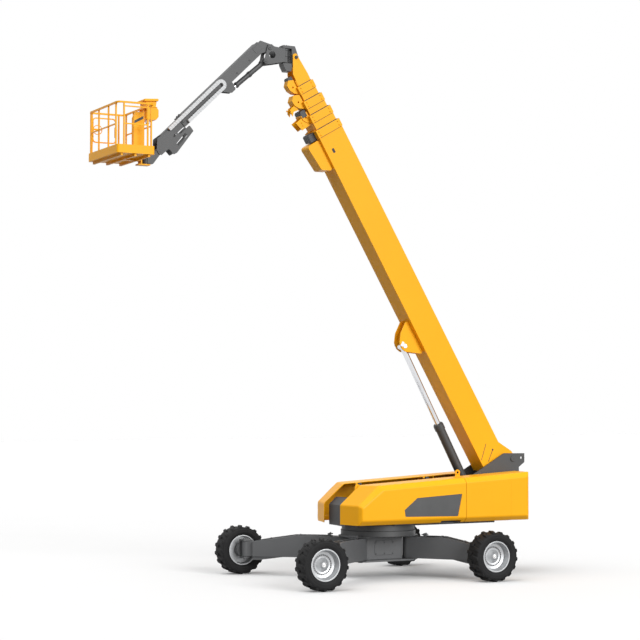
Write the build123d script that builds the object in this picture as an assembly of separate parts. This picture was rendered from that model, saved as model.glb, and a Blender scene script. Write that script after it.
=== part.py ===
from build123d import *
from math import asin, atan2, cos, degrees, hypot, radians, sin
import os

# Telescopic boom lift on four swing-out axle legs, millimetres.
# +X towards the basket, +Y to the left side, +Z up, ground at Z 0.

# Wheels and axle legs
MID_X = -1110.0
TYRE_R = 577.5
TYRE_W = 445.0
TYRE_H = 222.5
RIM_R = TYRE_R - TYRE_H
LUGS = 17
LUG_W = 78.0
LUG_H = 38.0
LUG_LEAN = 46.0
WHEELBASE = 4410.0
TRACK = 4280.0
KING_INSET = 360.0
KING_R = 45.0
FIT = 0.5
GAP = 8.0

# Chassis box and slew ring
SLEW_X = MID_X - 400.0
BOX_L = 960.0
BOX_W = 600.0
PLATE_Z0 = 400.0
PLATE_Z1 = 1000.0
PLATE_T = 40.0
PIVOT_X = 650.0
PIVOT_Y = 330.0
LEG_W = 300.0
LEG_END_Z0 = 450.0
LEG_END_Z1 = 800.0
WEDGE_H = 80.0
DOOR_L = 520.0
DOOR_H = 330.0
DOOR_T = 12.0
RING_R = 880.0
RING_H = 110.0

# Turntable
DECK_Z0 = PLATE_Z1 + RING_H + FIT
DECK_T = 150.0
DECK_Z1 = DECK_Z0 + DECK_T
SIDE_Y = 325.0
SIDE_T = 32.0
HOOD_IN = 405.0
HOOD_OUT = 1120.0
HOOD_EDGE = 105.0
HOOD_Z0 = 1290.0
HOOD_NOSE_X = MID_X + 830.0
HOOD_SWEEP = 175.0
HOOD_NOSE_Z = 1740.0
HOOD_SLOPE_X = 520.0
HOOD_TOP_Z = 2185.0
HOOD_RISE = 0.0575
HOOD_WALL = 14.0
PANEL_DEPTH = 8.0
HANDLE_L = 540.0
HANDLE_H = 50.0
REAR_R = 140.0
SEAM_X = MID_X - 2150.0
WEIGHT_X0 = MID_X - 3410.0
WEIGHT_X1 = MID_X - 3970.0
SEAM_GAP = 10.0
EYE_R = 30.0
HINGE_IN = 22.0
HINGE_DOWN = 34.0
HINGE_R = 14.0

# Boom, measured along its length from the foot pin and across it
PIN_X = MID_X - 3970.0
PIN_Z = 2720.0
PIN_R = 70.0
BOOM_DEG = 59.9
BOOM_END = 9330.0
COLLAR_L = 190.0
COLLAR_T = 14.0
BOOM_WALL = 12.0

# Lift cylinder
LIFT_BASE_X = MID_X - 3050.0
LIFT_BASE_Z = 1700.0
LIFT_EYE_S = 3810.0
LIFT_EYE_H = -1150.0
LIFT_PIN_R = 55.0
LIFT_BARREL_R = 112.0
LIFT_ROD_R = 68.0
LIFT_BARREL_L = 2100.0
LIFT_ROD_L = 2500.0

# Tip knuckle, swing bracket and jib
TIP_S = 11032.0
TIP_H = -323.0
TIP_PIN_R = 40.0
SWING_DX = 220.0
SWING_LOW = 142.0
SWING_HIGH = 188.0
SWING_R = 92.0
JIB_DX = 452.0
JIB_DROP = 22.0
JIB_DEG = -44.0
JIB_LO = 30.0
JIB_HI = 290.0
JIB_HALF = 110.0
JIB_END = 2880.0
JIB_WALL = 10.0
JIB_PLAY = 12.0
JIB_CYL_DX = 104.0
JIB_CYL_DZ = -333.0
JIB_EYE_S = 1370.0
JIB_EYE_M = -100.0
HEAD_Y = 118.0
HEAD_T = 16.0
HEAD_PIN_OUT = 6.0

# Platform arm and basket
LEVEL_S = 3720.0
LEVEL_M = 40.0
ARM_L = 292.0
FLOOR_DROP = 213.0
ROT_R = 85.0
ROT_UP = 105.0
ROT_DOWN = 100.0
BASKET_OFF = 150.0
YOKE_T = 30.0
BASKET_L = 870.0
BASKET_HALF = 915.0
TOE_H = 185.0
TOE_T = 6.0
TOE_R = 45.0
BEAM_W = 50.0
BEAM_H = 55.0
RAIL_H = 1105.0
RAIL_W = 38.0
POST_W = 32.0
MID_W = 26.0
GATE_R = 15.0

# Telescopic sections: name, top, bottom, half width, rear end, front end, guide length, guide depth
SECTIONS = [
    ("boom_base", -104.0, -783.0, 270.0, 620.0, BOOM_END, 0.0, 0.0),
    ("boom_section_2", -140.0, -735.0, 232.0, 900.0, BOOM_END + 370.0, 300.0, 190.0),
    ("boom_section_3", -176.0, -690.0, 196.0, 1000.0, BOOM_END + 720.0, 385.0, 250.0),
    ("boom_section_4", -212.0, -646.0, 160.0, 1100.0, BOOM_END + 1080.0, 385.0, 215.0),
    ("boom_section_5", -248.0, -604.0, 126.0, 1200.0, BOOM_END + 1230.0, 0.0, 0.0),
]

# Corners: name, towards the front, towards the left
CORNERS = [("fl", 1, 1), ("fr", 1, -1), ("rl", -1, 1), ("rr", -1, -1)]
SIDES = [("left", 1), ("right", -1)]

os.makedirs("parts", exist_ok=True)


def save(shape, name):
    shape.label = name
    export_step(shape, "parts/" + name + ".step")


def prism(points, y0, y1):
    wire = Polyline(*[(x, y0, z) for x, z in points], close=True)
    return extrude(make_face(wire), amount=y1 - y0, dir=(0, 1, 0))


def pair(points, y0, y1):
    return prism(points, y0, y1) + prism(points, -y1, -y0)


def plate(points, y0, y1, r):
    wire = Polyline(*[(x, y0, z) for x, z in points], close=True)
    face = make_face(wire)
    return extrude(fillet(face.vertices(), r), amount=y1 - y0, dir=(0, 1, 0))


def plate_pair(points, y0, y1, r):
    return plate(points, y0, y1, r) + plate(points, -y1, -y0, r)


def block(x0, x1, y0, y1, z0, z1):
    middle = Pos((x0 + x1) / 2, (y0 + y1) / 2, (z0 + z1) / 2)
    return middle * Box(abs(x1 - x0), abs(y1 - y0), abs(z1 - z0))


def bar(p, q, r):
    p = Vector(*p)
    q = Vector(*q)
    return extrude(Plane(origin=p, z_dir=q - p) * Circle(r), amount=(q - p).length)


def cross(x, z, y0, y1, r):
    return bar((x, y0, z), (x, y1, z), r)


def post(x, y, z0, z1, r):
    return bar((x, y, z0), (x, y, z1), r)


def tilted(origin_x, origin_z, deg):
    c = cos(radians(deg))
    s = sin(radians(deg))

    def place(a, b):
        return (origin_x + a * c - b * s, origin_z + a * s + b * c)

    return place


boom_at = tilted(PIN_X, PIN_Z, BOOM_DEG)
tip_x, tip_z = boom_at(TIP_S, TIP_H)
SWING_X = tip_x + SWING_DX
SWING_Z0 = tip_z - SWING_LOW
SWING_Z1 = tip_z + SWING_HIGH
JIB_X = SWING_X + JIB_DX
JIB_Z = SWING_Z1 - JIB_DROP
jib_at = tilted(JIB_X, JIB_Z, JIB_DEG)
lx, lz = jib_at(LEVEL_S, LEVEL_M)
ROT_X = lx + ARM_L
FLOOR_Z = lz - FLOOR_DROP
RAIL_Z = FLOOR_Z + RAIL_H


def on_boom(points):
    return [boom_at(a, b) for a, b in points]


def on_jib(points):
    return [jib_at(a, b) for a, b in points]


def rect(a0, a1, b0, b1):
    return [(a0, b0), (a1, b0), (a1, b1), (a0, b1)]


def strip(p, q, width):
    long = hypot(q[0] - p[0], q[1] - p[1])
    u = (p[1] - q[1]) / long * width / 2
    v = (q[0] - p[0]) / long * width / 2
    return [(p[0] + u, p[1] + v), (q[0] + u, q[1] + v), (q[0] - u, q[1] - v), (p[0] - u, p[1] - v)]


# Chassis: box between two plates that hold the leg pins
plan = [
    (900, 300), (620, 560), (-620, 560), (-900, 300), (-900, -300), (-620, -560), (620, -560), (900, -300),
]


def chassis_plate(z0, z1):
    wire = Polyline(*[(SLEW_X + x, y, z0) for x, y in plan], close=True)
    return extrude(make_face(wire), amount=z1 - z0, dir=(0, 0, 1))


chassis = chassis_plate(PLATE_Z0, PLATE_Z0 + PLATE_T) + chassis_plate(PLATE_Z1 - PLATE_T, PLATE_Z1)
chassis += block(SLEW_X - BOX_L / 2, SLEW_X + BOX_L / 2, -BOX_W / 2, BOX_W / 2, PLATE_Z0, PLATE_Z1)
for name, fx, fy in CORNERS:
    chassis += post(SLEW_X + fx * PIVOT_X, fy * PIVOT_Y, PLATE_Z0 - 20, PLATE_Z1 + 25, 60)
for name, side in SIDES:
    face = Plane(
        origin=(SLEW_X, side * BOX_W / 2, (PLATE_Z0 + PLATE_Z1) / 2), x_dir=(1, 0, 0), z_dir=(0, side, 0)
    )
    chassis += extrude(face * RectangleRounded(DOOR_L, DOOR_H, 45), amount=DOOR_T)
save(chassis, "chassis_box")

ring = Pos(SLEW_X, 0, PLATE_Z1 + RING_H / 2) * Cylinder(RING_R, RING_H)
ring -= Pos(SLEW_X, 0, PLATE_Z1 + RING_H / 2) * Cylinder(RING_R - 170, RING_H)
for name, fx, fy in CORNERS:
    ring -= post(SLEW_X + fx * PIVOT_X, fy * PIVOT_Y, PLATE_Z1 - 5, PLATE_Z1 + 45, 75)
save(ring, "slew_ring")

# Axle legs, knuckles, rims and tyres at the four corners
tyre_half = TYRE_W / 2
bead_half = tyre_half - 32.5
carcass_r = TYRE_R - LUG_H
tyre_sides = 2 * LUGS
rim_pts = [
    (RIM_R, -bead_half), (RIM_R, bead_half), (RIM_R - 26, bead_half), (RIM_R - 66, 40), (160, 12), (92, 62),
    (60, 112), (0, 112), (0, 30), (50 + FIT, 30), (50 + FIT, -40), (RIM_R - 45, -40),
    (RIM_R - 25, -bead_half),
]


def ring_face(y, r):
    around = Plane(origin=(0, y, 0), x_dir=(0, 0, 1), z_dir=(0, 1, 0))
    return around * RegularPolygon(r, tyre_sides, major_radius=False, rotation=180 / tyre_sides)


lug_reach = (LUG_W + LUG_LEAN) / 2
lug_top = (TYRE_R**2 - lug_reach**2) ** 0.5


def lug(side):
    y0 = side * 10
    y1 = side * (tyre_half - 9)
    near = lug_reach - LUG_W
    corners = [(-lug_reach, y0), (-near, y0), (lug_reach, y1), (near, y1)]
    wire = Polyline(*[(x, y, carcass_r - 50) for x, y in corners], close=True)
    return extrude(make_face(wire), amount=lug_top - carcass_r + 50, dir=(0, 0, 1))


shoulder = tyre_half - 22
wall_r = carcass_r - 40
outer = [(tyre_half, wall_r), (shoulder, carcass_r), (-shoulder, carcass_r), (-tyre_half, wall_r)]
flare = RIM_R + 62
inner = [(tyre_half + 1, flare), (bead_half, RIM_R + FIT), (-bead_half, RIM_R + FIT), (-tyre_half - 1, flare)]
tyre = loft([ring_face(y, r) for y, r in outer], ruled=True)
tyre -= loft([ring_face(y, r) for y, r in inner], ruled=True)
step = 360 / LUGS
tyre += [Rot(0, k * step, 0) * lug(1) for k in range(LUGS)]
tyre += [Rot(0, (k + 0.5) * step, 0) * lug(-1) for k in range(LUGS)]
tyre = Rot(0, degrees(asin(lug_reach / TYRE_R)), 0) * tyre


def turned(points):
    wire = Polyline(*[(r, y, 0) for r, y in points], close=True)
    return revolve(make_face(wire), axis=Axis.Y)


for name, fx, fy in CORNERS:
    px = SLEW_X + fx * PIVOT_X
    py = fy * PIVOT_Y
    kx = MID_X + fx * WHEELBASE / 2
    ky = fy * (TRACK / 2 - KING_INSET)
    long = hypot(kx - px, ky - py)
    ux = (kx - px) / long
    uy = (ky - py) / long
    z0 = PLATE_Z0 + PLATE_T + GAP
    z1 = PLATE_Z1 - PLATE_T - GAP
    end = long - 185
    side = [(0, z0), (0.55 * long, z0), (end, LEG_END_Z0), (end, LEG_END_Z1), (0.5 * long, z1), (0, z1)]
    neck = [(end, LEG_END_Z0), (long, LEG_END_Z0), (long, LEG_END_Z1), (end, LEG_END_Z1)]
    leg = post(px, py, z0, z1, LEG_W / 2) + post(kx, ky, LEG_END_Z0, LEG_END_Z1, 100)
    low = LEG_END_Z0 - WEDGE_H
    wedge = [(0.6 * long, LEG_END_Z0 + 5), (end - 160, low), (end, low), (end, LEG_END_Z0 + 5)]
    for points, width in [(side, LEG_W), (neck, 170), (wedge, LEG_W - 60)]:
        dx = uy * width / 2
        dy = -ux * width / 2
        wire = Polyline(*[(px + u * ux + dx, py + u * uy + dy, z) for u, z in points], close=True)
        leg += extrude(make_face(wire), amount=width, dir=(-uy, ux, 0))
    leg -= post(px, py, z0 - 5, z1 + 5, 60 + FIT)
    leg -= post(kx, ky, LEG_END_Z0 - 5, LEG_END_Z1 + 5, KING_R + FIT)
    save(leg, "axle_leg_" + name)

    wheel_y = fy * TRACK / 2
    out = fy * 108
    knuckle = block(kx - 120, kx + 120, ky + out, ky + fy * 136, LEG_END_Z0 - 50, LEG_END_Z1 + 50)
    knuckle += block(kx - 100, kx + 100, ky - fy * 90, ky + out, LEG_END_Z1 + GAP, LEG_END_Z1 + 50)
    knuckle += block(kx - 100, kx + 100, ky - fy * 90, ky + out, LEG_END_Z0 - 50, LEG_END_Z0 - GAP)
    knuckle += post(kx, ky, LEG_END_Z0 - 50, LEG_END_Z1 + 50, KING_R)
    knuckle += cross(kx, TYRE_R, ky + fy * 136, wheel_y - fy * 50, 165)
    knuckle += cross(kx, TYRE_R, wheel_y - fy * 50, wheel_y + fy * 25, 50)
    save(knuckle, "knuckle_" + name)

    turn = Pos(kx, wheel_y, TYRE_R) * Rot(0, 0, 0 if fy > 0 else 180)
    save(turn * turned(rim_pts), "rim_" + name)
    save(turn * tyre, "tyre_" + name)

# Turntable frame: deck on the ring, two side plates with the boom ears, cylinder pin, hood hinge arms


def hood_top(x):
    return HOOD_TOP_Z + HOOD_RISE * (HOOD_NOSE_X - HOOD_SLOPE_X - x)


side_pts = [
    (MID_X + 430, DECK_Z1), (MID_X + 430, 1700), (MID_X - 1900, 1780), (MID_X - 2731, 2301),
    (PIN_X + 254, PIN_Z + 140), (PIN_X - 337, PIN_Z + 132), (PIN_X - 337, PIN_Z - 85),
    (PIN_X - 175, PIN_Z - 200), (PIN_X - 175, 1860),
    (WEIGHT_X0, 1860), (WEIGHT_X0, DECK_Z1),
]
frame = block(MID_X + 480, WEIGHT_X0, -HOOD_IN + 12, HOOD_IN - 12, DECK_Z1 - 60, DECK_Z1)
frame += Pos(SLEW_X, 0, (DECK_Z0 + DECK_Z1) / 2) * Cylinder(RING_R - 20, DECK_T)
save(frame, "turntable_frame")

plate_out = SIDE_Y + SIDE_T
pins = cross(PIN_X, PIN_Z, -plate_out - 22, plate_out + 22, PIN_R)
pins += cross(LIFT_BASE_X, LIFT_BASE_Z, -plate_out - 20, plate_out + 20, LIFT_PIN_R)
save(pins, "foot_pins")


def hinge_at(x, side, dx):
    return (x + dx, side * (HOOD_IN - HINGE_IN), hood_top(x + dx) - HINGE_DOWN)


hinge_xs = [MID_X - 100, SEAM_X + 200]
for name, side in SIDES:
    y0, y1 = sorted((side * SIDE_Y, side * plate_out))
    cheek = prism(side_pts, y0, y1)
    for x in hinge_xs:
        cheek += block(x - 40, x + 40, y0, y1, 1500, hood_top(x) - HINGE_DOWN + 20)
        cheek += bar(hinge_at(x, side, 24), hinge_at(x, side, 110), HINGE_R)
        arm_y = hinge_at(x, side, 0)[1] + side * 12
        cheek += block(x - 40, x + 40, side * SIDE_Y, arm_y, hood_top(x) - 75, hood_top(x) - 14)
    cheek -= cross(PIN_X, PIN_Z, -plate_out - 5, plate_out + 5, PIN_R + FIT)
    cheek -= cross(LIFT_BASE_X, LIFT_BASE_Z, -plate_out - 5, plate_out + 5, LIFT_PIN_R + FIT)
    cheek -= cross(PIN_X - 246, PIN_Z + 25, -plate_out - 5, plate_out + 5, EYE_R)
    save(cheek, "side_plate_" + name)

nose = [
    (MID_X + 480, DECK_Z1 - 50), (MID_X + 700, DECK_Z1 - 20), (MID_X + 700, 1715), (MID_X + 520, 1880),
    (MID_X + 440, 1880), (MID_X + 640, 1690), (MID_X + 640, DECK_Z1 + 30), (MID_X + 480, DECK_Z1 + 10),
]
save(prism(nose, -HOOD_IN + 12, HOOD_IN - 12), "nose_panel")


def hood_section(y, nose_x, inset, x_rear, low):
    slope_x = nose_x - HOOD_SLOPE_X
    pts = [
        (nose_x - 0.3 * inset, low), (nose_x - 0.3 * inset, HOOD_NOSE_Z - 0.45 * inset),
        (slope_x - 0.45 * inset, hood_top(slope_x) - inset), (x_rear, hood_top(x_rear) - inset), (x_rear, low),
    ]
    return make_face(Polyline(*[(x, y, z) for x, z in pts], close=True))


def cover_section(y, x_front, inset, x_rear, low):
    pts = [
        (x_front, low), (x_front, hood_top(x_front) - inset), (x_rear, hood_top(x_rear) - inset), (x_rear, low),
    ]
    return make_face(Polyline(*[(x, y, z) for x, z in pts], close=True))


def hood_shell(side):
    knee = HOOD_OUT - HOOD_EDGE
    share = (knee - HOOD_IN) / (HOOD_OUT - HOOD_IN)
    outer = [
        hood_section(side * HOOD_IN, HOOD_NOSE_X, 0, SEAM_X, HOOD_Z0),
        hood_section(side * knee, HOOD_NOSE_X - share * HOOD_SWEEP, 0, SEAM_X, HOOD_Z0),
        hood_section(side * HOOD_OUT, HOOD_NOSE_X - HOOD_SWEEP, HOOD_EDGE, SEAM_X, HOOD_Z0 + HOOD_EDGE),
    ]
    w = HOOD_WALL
    inner = [
        hood_section(side * (HOOD_IN - 2), HOOD_NOSE_X - w, w, SEAM_X - 5, HOOD_Z0 - 10),
        hood_section(side * (knee - w), HOOD_NOSE_X - w - share * HOOD_SWEEP, w, SEAM_X - 5, HOOD_Z0 - 10),
        hood_section(
            side * (HOOD_OUT - w), HOOD_NOSE_X - w - HOOD_SWEEP, HOOD_EDGE + w, SEAM_X - 5, HOOD_Z0 + HOOD_EDGE
        ),
    ]
    return loft(outer, ruled=True) - loft(inner, ruled=True)


def cover_shell(side, x_front, x_rear, hollow):
    knee = HOOD_OUT - HOOD_EDGE
    outer = [
        cover_section(side * HOOD_IN, x_front, 0, x_rear, HOOD_Z0),
        cover_section(side * knee, x_front, 0, x_rear, HOOD_Z0),
        cover_section(side * HOOD_OUT, x_front, HOOD_EDGE, x_rear, HOOD_Z0 + HOOD_EDGE),
    ]
    shape = loft(outer, ruled=True)
    if hollow:
        w = HOOD_WALL
        inner = [
            cover_section(side * (HOOD_IN - 2), x_front - w, w, x_rear + w, HOOD_Z0 - 10),
            cover_section(side * (knee - w), x_front - w, w, x_rear + w, HOOD_Z0 - 10),
            cover_section(side * (HOOD_OUT - w), x_front - w, HOOD_EDGE + w, x_rear + w, HOOD_Z0 + HOOD_EDGE),
        ]
        shape -= loft(inner, ruled=True)
    return shape


panel = [
    (MID_X - 475, HOOD_Z0 + 335), (MID_X - 820, HOOD_Z0 + 605), (SEAM_X + 104, HOOD_Z0 + 672),
    (SEAM_X + 224, HOOD_Z0 + 141), (MID_X - 501, HOOD_Z0 + 170),
]
for name, side in SIDES:
    hood = hood_shell(side)
    y0, y1 = sorted((side * (HOOD_OUT - PANEL_DEPTH), side * (HOOD_OUT + 5)))
    hood -= plate(panel, y0, y1, 25)
    hood -= block(
        SEAM_X + 110, SEAM_X + 110 + HANDLE_L, side * (HOOD_OUT - HOOD_EDGE - 20), side * (HOOD_OUT + 5),
        HOOD_Z0 - 5, HOOD_Z0 + HANDLE_H,
    )
    for x in hinge_xs:
        y = hinge_at(x, side, 0)[1]
        leaf_z = hood_top(x) - HINGE_DOWN - 18
        hood += block(x + 48, x + 100, y - side * 18, side * (HOOD_IN + 30), leaf_z, hood_top(x) - 8)
        hood -= bar(hinge_at(x, side, 44), hinge_at(x, side, 115), HINGE_R + FIT)
    save(hood, "hood_" + name)
    save(cover_shell(side, SEAM_X - SEAM_GAP, WEIGHT_X0, True), "rear_cover_" + name)

weight = cover_shell(1, WEIGHT_X0, WEIGHT_X1, False) + cover_shell(-1, WEIGHT_X0, WEIGHT_X1, False)
weight += block(WEIGHT_X1, WEIGHT_X0, -HOOD_IN - 5, HOOD_IN + 5, HOOD_Z0, 1835)
weight -= block(WEIGHT_X1 - 5, WEIGHT_X1 + 40, -HOOD_OUT - 5, HOOD_OUT + 5, 2080, 2130)
plan_l = WEIGHT_X0 - WEIGHT_X1 + 3 * REAR_R
rounded = Pos(WEIGHT_X1 + plan_l / 2, 0, HOOD_Z0) * RectangleRounded(plan_l, 2 * HOOD_OUT, REAR_R)
weight &= extrude(rounded, amount=hood_top(WEIGHT_X1) - HOOD_Z0 + 5, dir=(0, 0, 1))
save(weight, "counterweight")

# Engine on the left tray and tank on the right tray, under the hoods
for name, side in [("engine", 1), ("tank", -1)]:
    y0 = side * (SIDE_Y + SIDE_T + GAP)
    y1 = side * (HOOD_OUT - HOOD_EDGE - 60)
    tray = block(SEAM_X + 250, MID_X - 300, y0, y1, DECK_Z1, DECK_Z1 + 40)
    body = block(SEAM_X + 300, MID_X - 350, side * (HOOD_IN + 40), y1 - side * 20, DECK_Z1 + 40, 1980)
    save(tray + body, name)

# Boom sections, each a box tube with a collar at its front end
for i, (name, top, low, half, rear, front, guide_l, guide_h) in enumerate(SECTIONS):
    tube = prism(on_boom(rect(rear, front, low, top)), -half, half)
    shown = SECTIONS[i - 1][5] + GAP if i else 0
    collar = rect(max(front - COLLAR_L, shown), front, low - COLLAR_T, top + COLLAR_T)
    tube += prism(on_boom(collar), -half - COLLAR_T, half + COLLAR_T)
    if name == "boom_base":
        foot = [(rear, low), (rear, top), (540, top), (150, 110), (-90, 110), (-110, -60), (120, low)]
        tube += prism(on_boom(foot), -half, half)
        tube += cross(PIN_X, PIN_Z, -SIDE_Y + 4, SIDE_Y - 4, 115)
        fork = [(3380, low + 5), (3690, -1210), (3800, -1255), (3950, -1240), (4130, -1100), (4345, low + 5)]
        tube += plate_pair(on_boom(fork), 108, 140, 60)
        cowl = [(8300, low + 5), (8460, -1060), (9090, -1130), (9110, low + 5)]
        tube += plate(on_boom(cowl), -190, 190, 70)
    if name == "boom_section_5":
        tip = [
            (shown, top), (front, top + 13), (TIP_S + 83, TIP_H + 48), (TIP_S + 98, TIP_H - 36),
            (TIP_S - 307, low + 11), (shown, low),
        ]
        tube += plate_pair(on_boom(tip), half, half + 22, 28)
        tube -= cross(tip_x, tip_z, -half - 30, half + 30, TIP_PIN_R + FIT)
    if guide_l > 0:
        g0 = front - 150
        g1 = g0 + guide_l
        roof = SECTIONS[i + 1][2] - COLLAR_T - GAP
        guide = [
            (front + GAP, roof), (g1 - 0.12 * guide_l, roof), (g1, roof - 0.6 * guide_h),
            (g1 - 0.25 * guide_l, roof - guide_h), (g0 + 0.42 * guide_l, roof - 0.95 * guide_h),
            (g0 + 0.15 * guide_l, roof - 0.65 * guide_h), (g0, roof - 0.25 * guide_h), (g0, low + 5),
        ]
        tube += plate(on_boom(guide), -0.62 * half, 0.62 * half, 14)
        hole_x, hole_z = boom_at(g0 + 0.5 * guide_l, roof - 0.45 * guide_h)
        tube -= cross(hole_x, hole_z, -half, half, 20)
    wall = BOOM_WALL
    tube -= prism(on_boom(rect(rear + 60, front - COLLAR_L, low + wall, top - wall)), -half + wall, half - wall)
    if i + 1 < len(SECTIONS):
        nxt = SECTIONS[i + 1]
        mouth = rect(front - COLLAR_L - 1, front + 900, nxt[2] - FIT, nxt[1] + FIT)
        tube -= prism(on_boom(mouth), -nxt[3] - FIT, nxt[3] + FIT)
    if name == "boom_base":
        tube -= cross(PIN_X, PIN_Z, -SIDE_Y, SIDE_Y, PIN_R + FIT)
        tube -= prism(on_boom(rect(-140, 560, low + 90, -140)), -half + 40, half - 40)
        for p, q in [((682, -435), (404, -750)), ((476, -325), (274, -592))]:
            tube -= pair(on_boom(strip(p, q, 16)), half - 6, half + 5)
    save(tube, name)

# Lift cylinder: barrel on the turntable pin, rod to the fork under the boom
eye_x, eye_z = boom_at(LIFT_EYE_S, LIFT_EYE_H)
lift_l = hypot(eye_x - LIFT_BASE_X, eye_z - LIFT_BASE_Z)
lift_deg = degrees(atan2(eye_z - LIFT_BASE_Z, eye_x - LIFT_BASE_X))
lift_at = tilted(LIFT_BASE_X, LIFT_BASE_Z, lift_deg)


def along(place, a0, a1, r):
    x0, z0 = place(a0, 0)
    x1, z1 = place(a1, 0)
    return bar((x0, 0, z0), (x1, 0, z1), r)


barrel = along(lift_at, 0, LIFT_BARREL_L, LIFT_BARREL_R)
barrel += along(lift_at, LIFT_BARREL_L - 130, LIFT_BARREL_L, LIFT_BARREL_R + 14)
barrel += cross(LIFT_BASE_X, LIFT_BASE_Z, -130, 130, 125)
barrel -= along(lift_at, 180, LIFT_BARREL_L + 10, LIFT_ROD_R + FIT)
barrel -= cross(LIFT_BASE_X, LIFT_BASE_Z, -140, 140, LIFT_PIN_R + FIT)
save(barrel, "lift_barrel")
rod = along(lift_at, lift_l - LIFT_ROD_L, lift_l, LIFT_ROD_R) + cross(eye_x, eye_z, -98, 98, 88)
save(rod, "lift_rod")

# Tip knuckle with the upright swing actuator
k = [
    (tip_x - 60, tip_z - 70), (tip_x - 60, tip_z + 70), (tip_x + 12, SWING_Z1 + 75),
    (SWING_X + 100, SWING_Z1 + 75), (SWING_X + 100, SWING_Z1 + GAP), (SWING_X - 125, SWING_Z1 + GAP),
    (SWING_X - 125, SWING_Z0 - GAP), (SWING_X + 100, SWING_Z0 - GAP), (SWING_X + 90, SWING_Z0 - 60),
    (SWING_X + 20, SWING_Z0 - 190), (SWING_X - 110, SWING_Z0 - 190), (tip_x + 40, tip_z - 110),
]
knuckle = prism(k, -112, 112)
knuckle += cross(tip_x, tip_z, -118, 118, 82)
knuckle += cross(tip_x, tip_z, -170, 170, TIP_PIN_R)
knuckle += post(SWING_X, 0, SWING_Z0 - 20, SWING_Z1 + 20, 45)
save(knuckle, "tip_knuckle")

# Swing bracket: hub on the actuator shaft, two cheeks with the jib pin and the cylinder pin
swing = post(SWING_X, 0, SWING_Z0, SWING_Z1, SWING_R) - post(SWING_X, 0, SWING_Z0 - 5, SWING_Z1 + 5, 45 + FIT)
cyl_x = JIB_X + JIB_CYL_DX
cyl_z = JIB_Z + JIB_CYL_DZ
s = [
    (SWING_X + 85, SWING_Z0 + 10), (SWING_X + 85, SWING_Z1 - 10), (JIB_X - 110, JIB_Z + 40),
    (JIB_X - 40, JIB_Z + 85), (JIB_X + 45, JIB_Z + 70), (JIB_X + 75, JIB_Z - 20),
    (cyl_x + 20, cyl_z + 75), (cyl_x + 65, cyl_z),
    (cyl_x + 20, cyl_z - 62), (cyl_x - 60, cyl_z - 55), (SWING_X + 160, SWING_Z0 - 10),
]
cheeks = plate_pair(s, 122, 146, 22)
cheeks -= cross(JIB_X - 60, JIB_Z - 160, -150, 150, 82)
web = block(SWING_X + 60, SWING_X + 110, -146, 146, SWING_Z0 + 5, SWING_Z1 - 5)
swing += cheeks + web
swing += cross(JIB_X, JIB_Z, -160, 160, 38) + cross(cyl_x, cyl_z, -160, 160, 32)
swing -= post(SWING_X, 0, SWING_Z0 - 5, SWING_Z1 + 5, 45 + FIT)
save(swing, "swing_bracket")

# Jib: outer box, sliding inner box, head plates, cylinder and cable carrier
in_lo = JIB_LO + JIB_WALL + JIB_PLAY
in_hi = JIB_HI - JIB_WALL - JIB_PLAY
in_half = JIB_HALF - JIB_WALL - JIB_PLAY
outer = prism(on_jib(rect(190, JIB_END, JIB_LO, JIB_HI)), -JIB_HALF, JIB_HALF)
hollow = rect(260, JIB_END - 90, JIB_LO + JIB_WALL, JIB_HI - JIB_WALL)
outer -= prism(on_jib(hollow), -JIB_HALF + JIB_WALL, JIB_HALF - JIB_WALL)
outer -= prism(on_jib(rect(JIB_END - 91, JIB_END + 5, in_lo - FIT, in_hi + FIT)), -in_half - FIT, in_half + FIT)
ear = [(-60, -55), (60, -55), (230, JIB_LO), (480, JIB_LO + 5), (480, JIB_HI - 5), (60, JIB_HI - 25), (-70, 60)]
ears = plate_pair(on_jib(ear), 80, JIB_HALF, 18)
outer += ears
outer -= cross(JIB_X, JIB_Z, -130, 130, 38 + FIT)
eye_plate = [
    (JIB_EYE_S - 110, JIB_LO + 5), (JIB_EYE_S - 60, JIB_EYE_M - 55), (JIB_EYE_S + 70, JIB_EYE_M - 55),
    (JIB_EYE_S + 260, JIB_LO + 5),
]
outer += plate_pair(on_jib(eye_plate), 62, 84, 30)
save(outer, "jib_outer")

inner = prism(on_jib(rect(500, JIB_END + 560, in_lo, in_hi)), -in_half, in_half)
inner -= prism(on_jib(rect(490, JIB_END + 350, in_lo + 10, in_hi - 10)), -in_half + 10, in_half - 10)
save(inner, "jib_inner")

h = [
    (JIB_END + 400, 250), (JIB_END + 700, 285), (LEVEL_S + 50, LEVEL_M + 60), (LEVEL_S + 75, LEVEL_M - 20),
    (LEVEL_S + 50, LEVEL_M - 95), (LEVEL_S - 70, LEVEL_M - 100), (LEVEL_S - 190, LEVEL_M - 110),
    (LEVEL_S - 190, -235), (LEVEL_S - 280, -258), (JIB_END - 85, -160), (JIB_END - 95, -5), (JIB_END + 200, -5),
]
head = plate_pair(on_jib(h), HEAD_Y, HEAD_Y + HEAD_T, 22)
slot = [(JIB_END + 102, -140), (JIB_END + 437, -167), (JIB_END + 431, -98), (JIB_END + 102, -61)]
gap = [(JIB_END + 285, 38), (JIB_END + 382, 34), (JIB_END + 388, 88), (JIB_END + 310, 84)]
for window in (slot, gap):
    head -= plate_pair(on_jib(window), HEAD_Y - 5, HEAD_Y + HEAD_T + 5, 14)
head += prism(on_jib(rect(JIB_END + 440, JIB_END + 540, in_lo + 20, in_hi - 20)), -HEAD_Y, HEAD_Y) - inner
head_pin = HEAD_Y + HEAD_T + HEAD_PIN_OUT
head += cross(lx, lz, -head_pin, head_pin, 36)
save(head, "jib_head")

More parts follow.
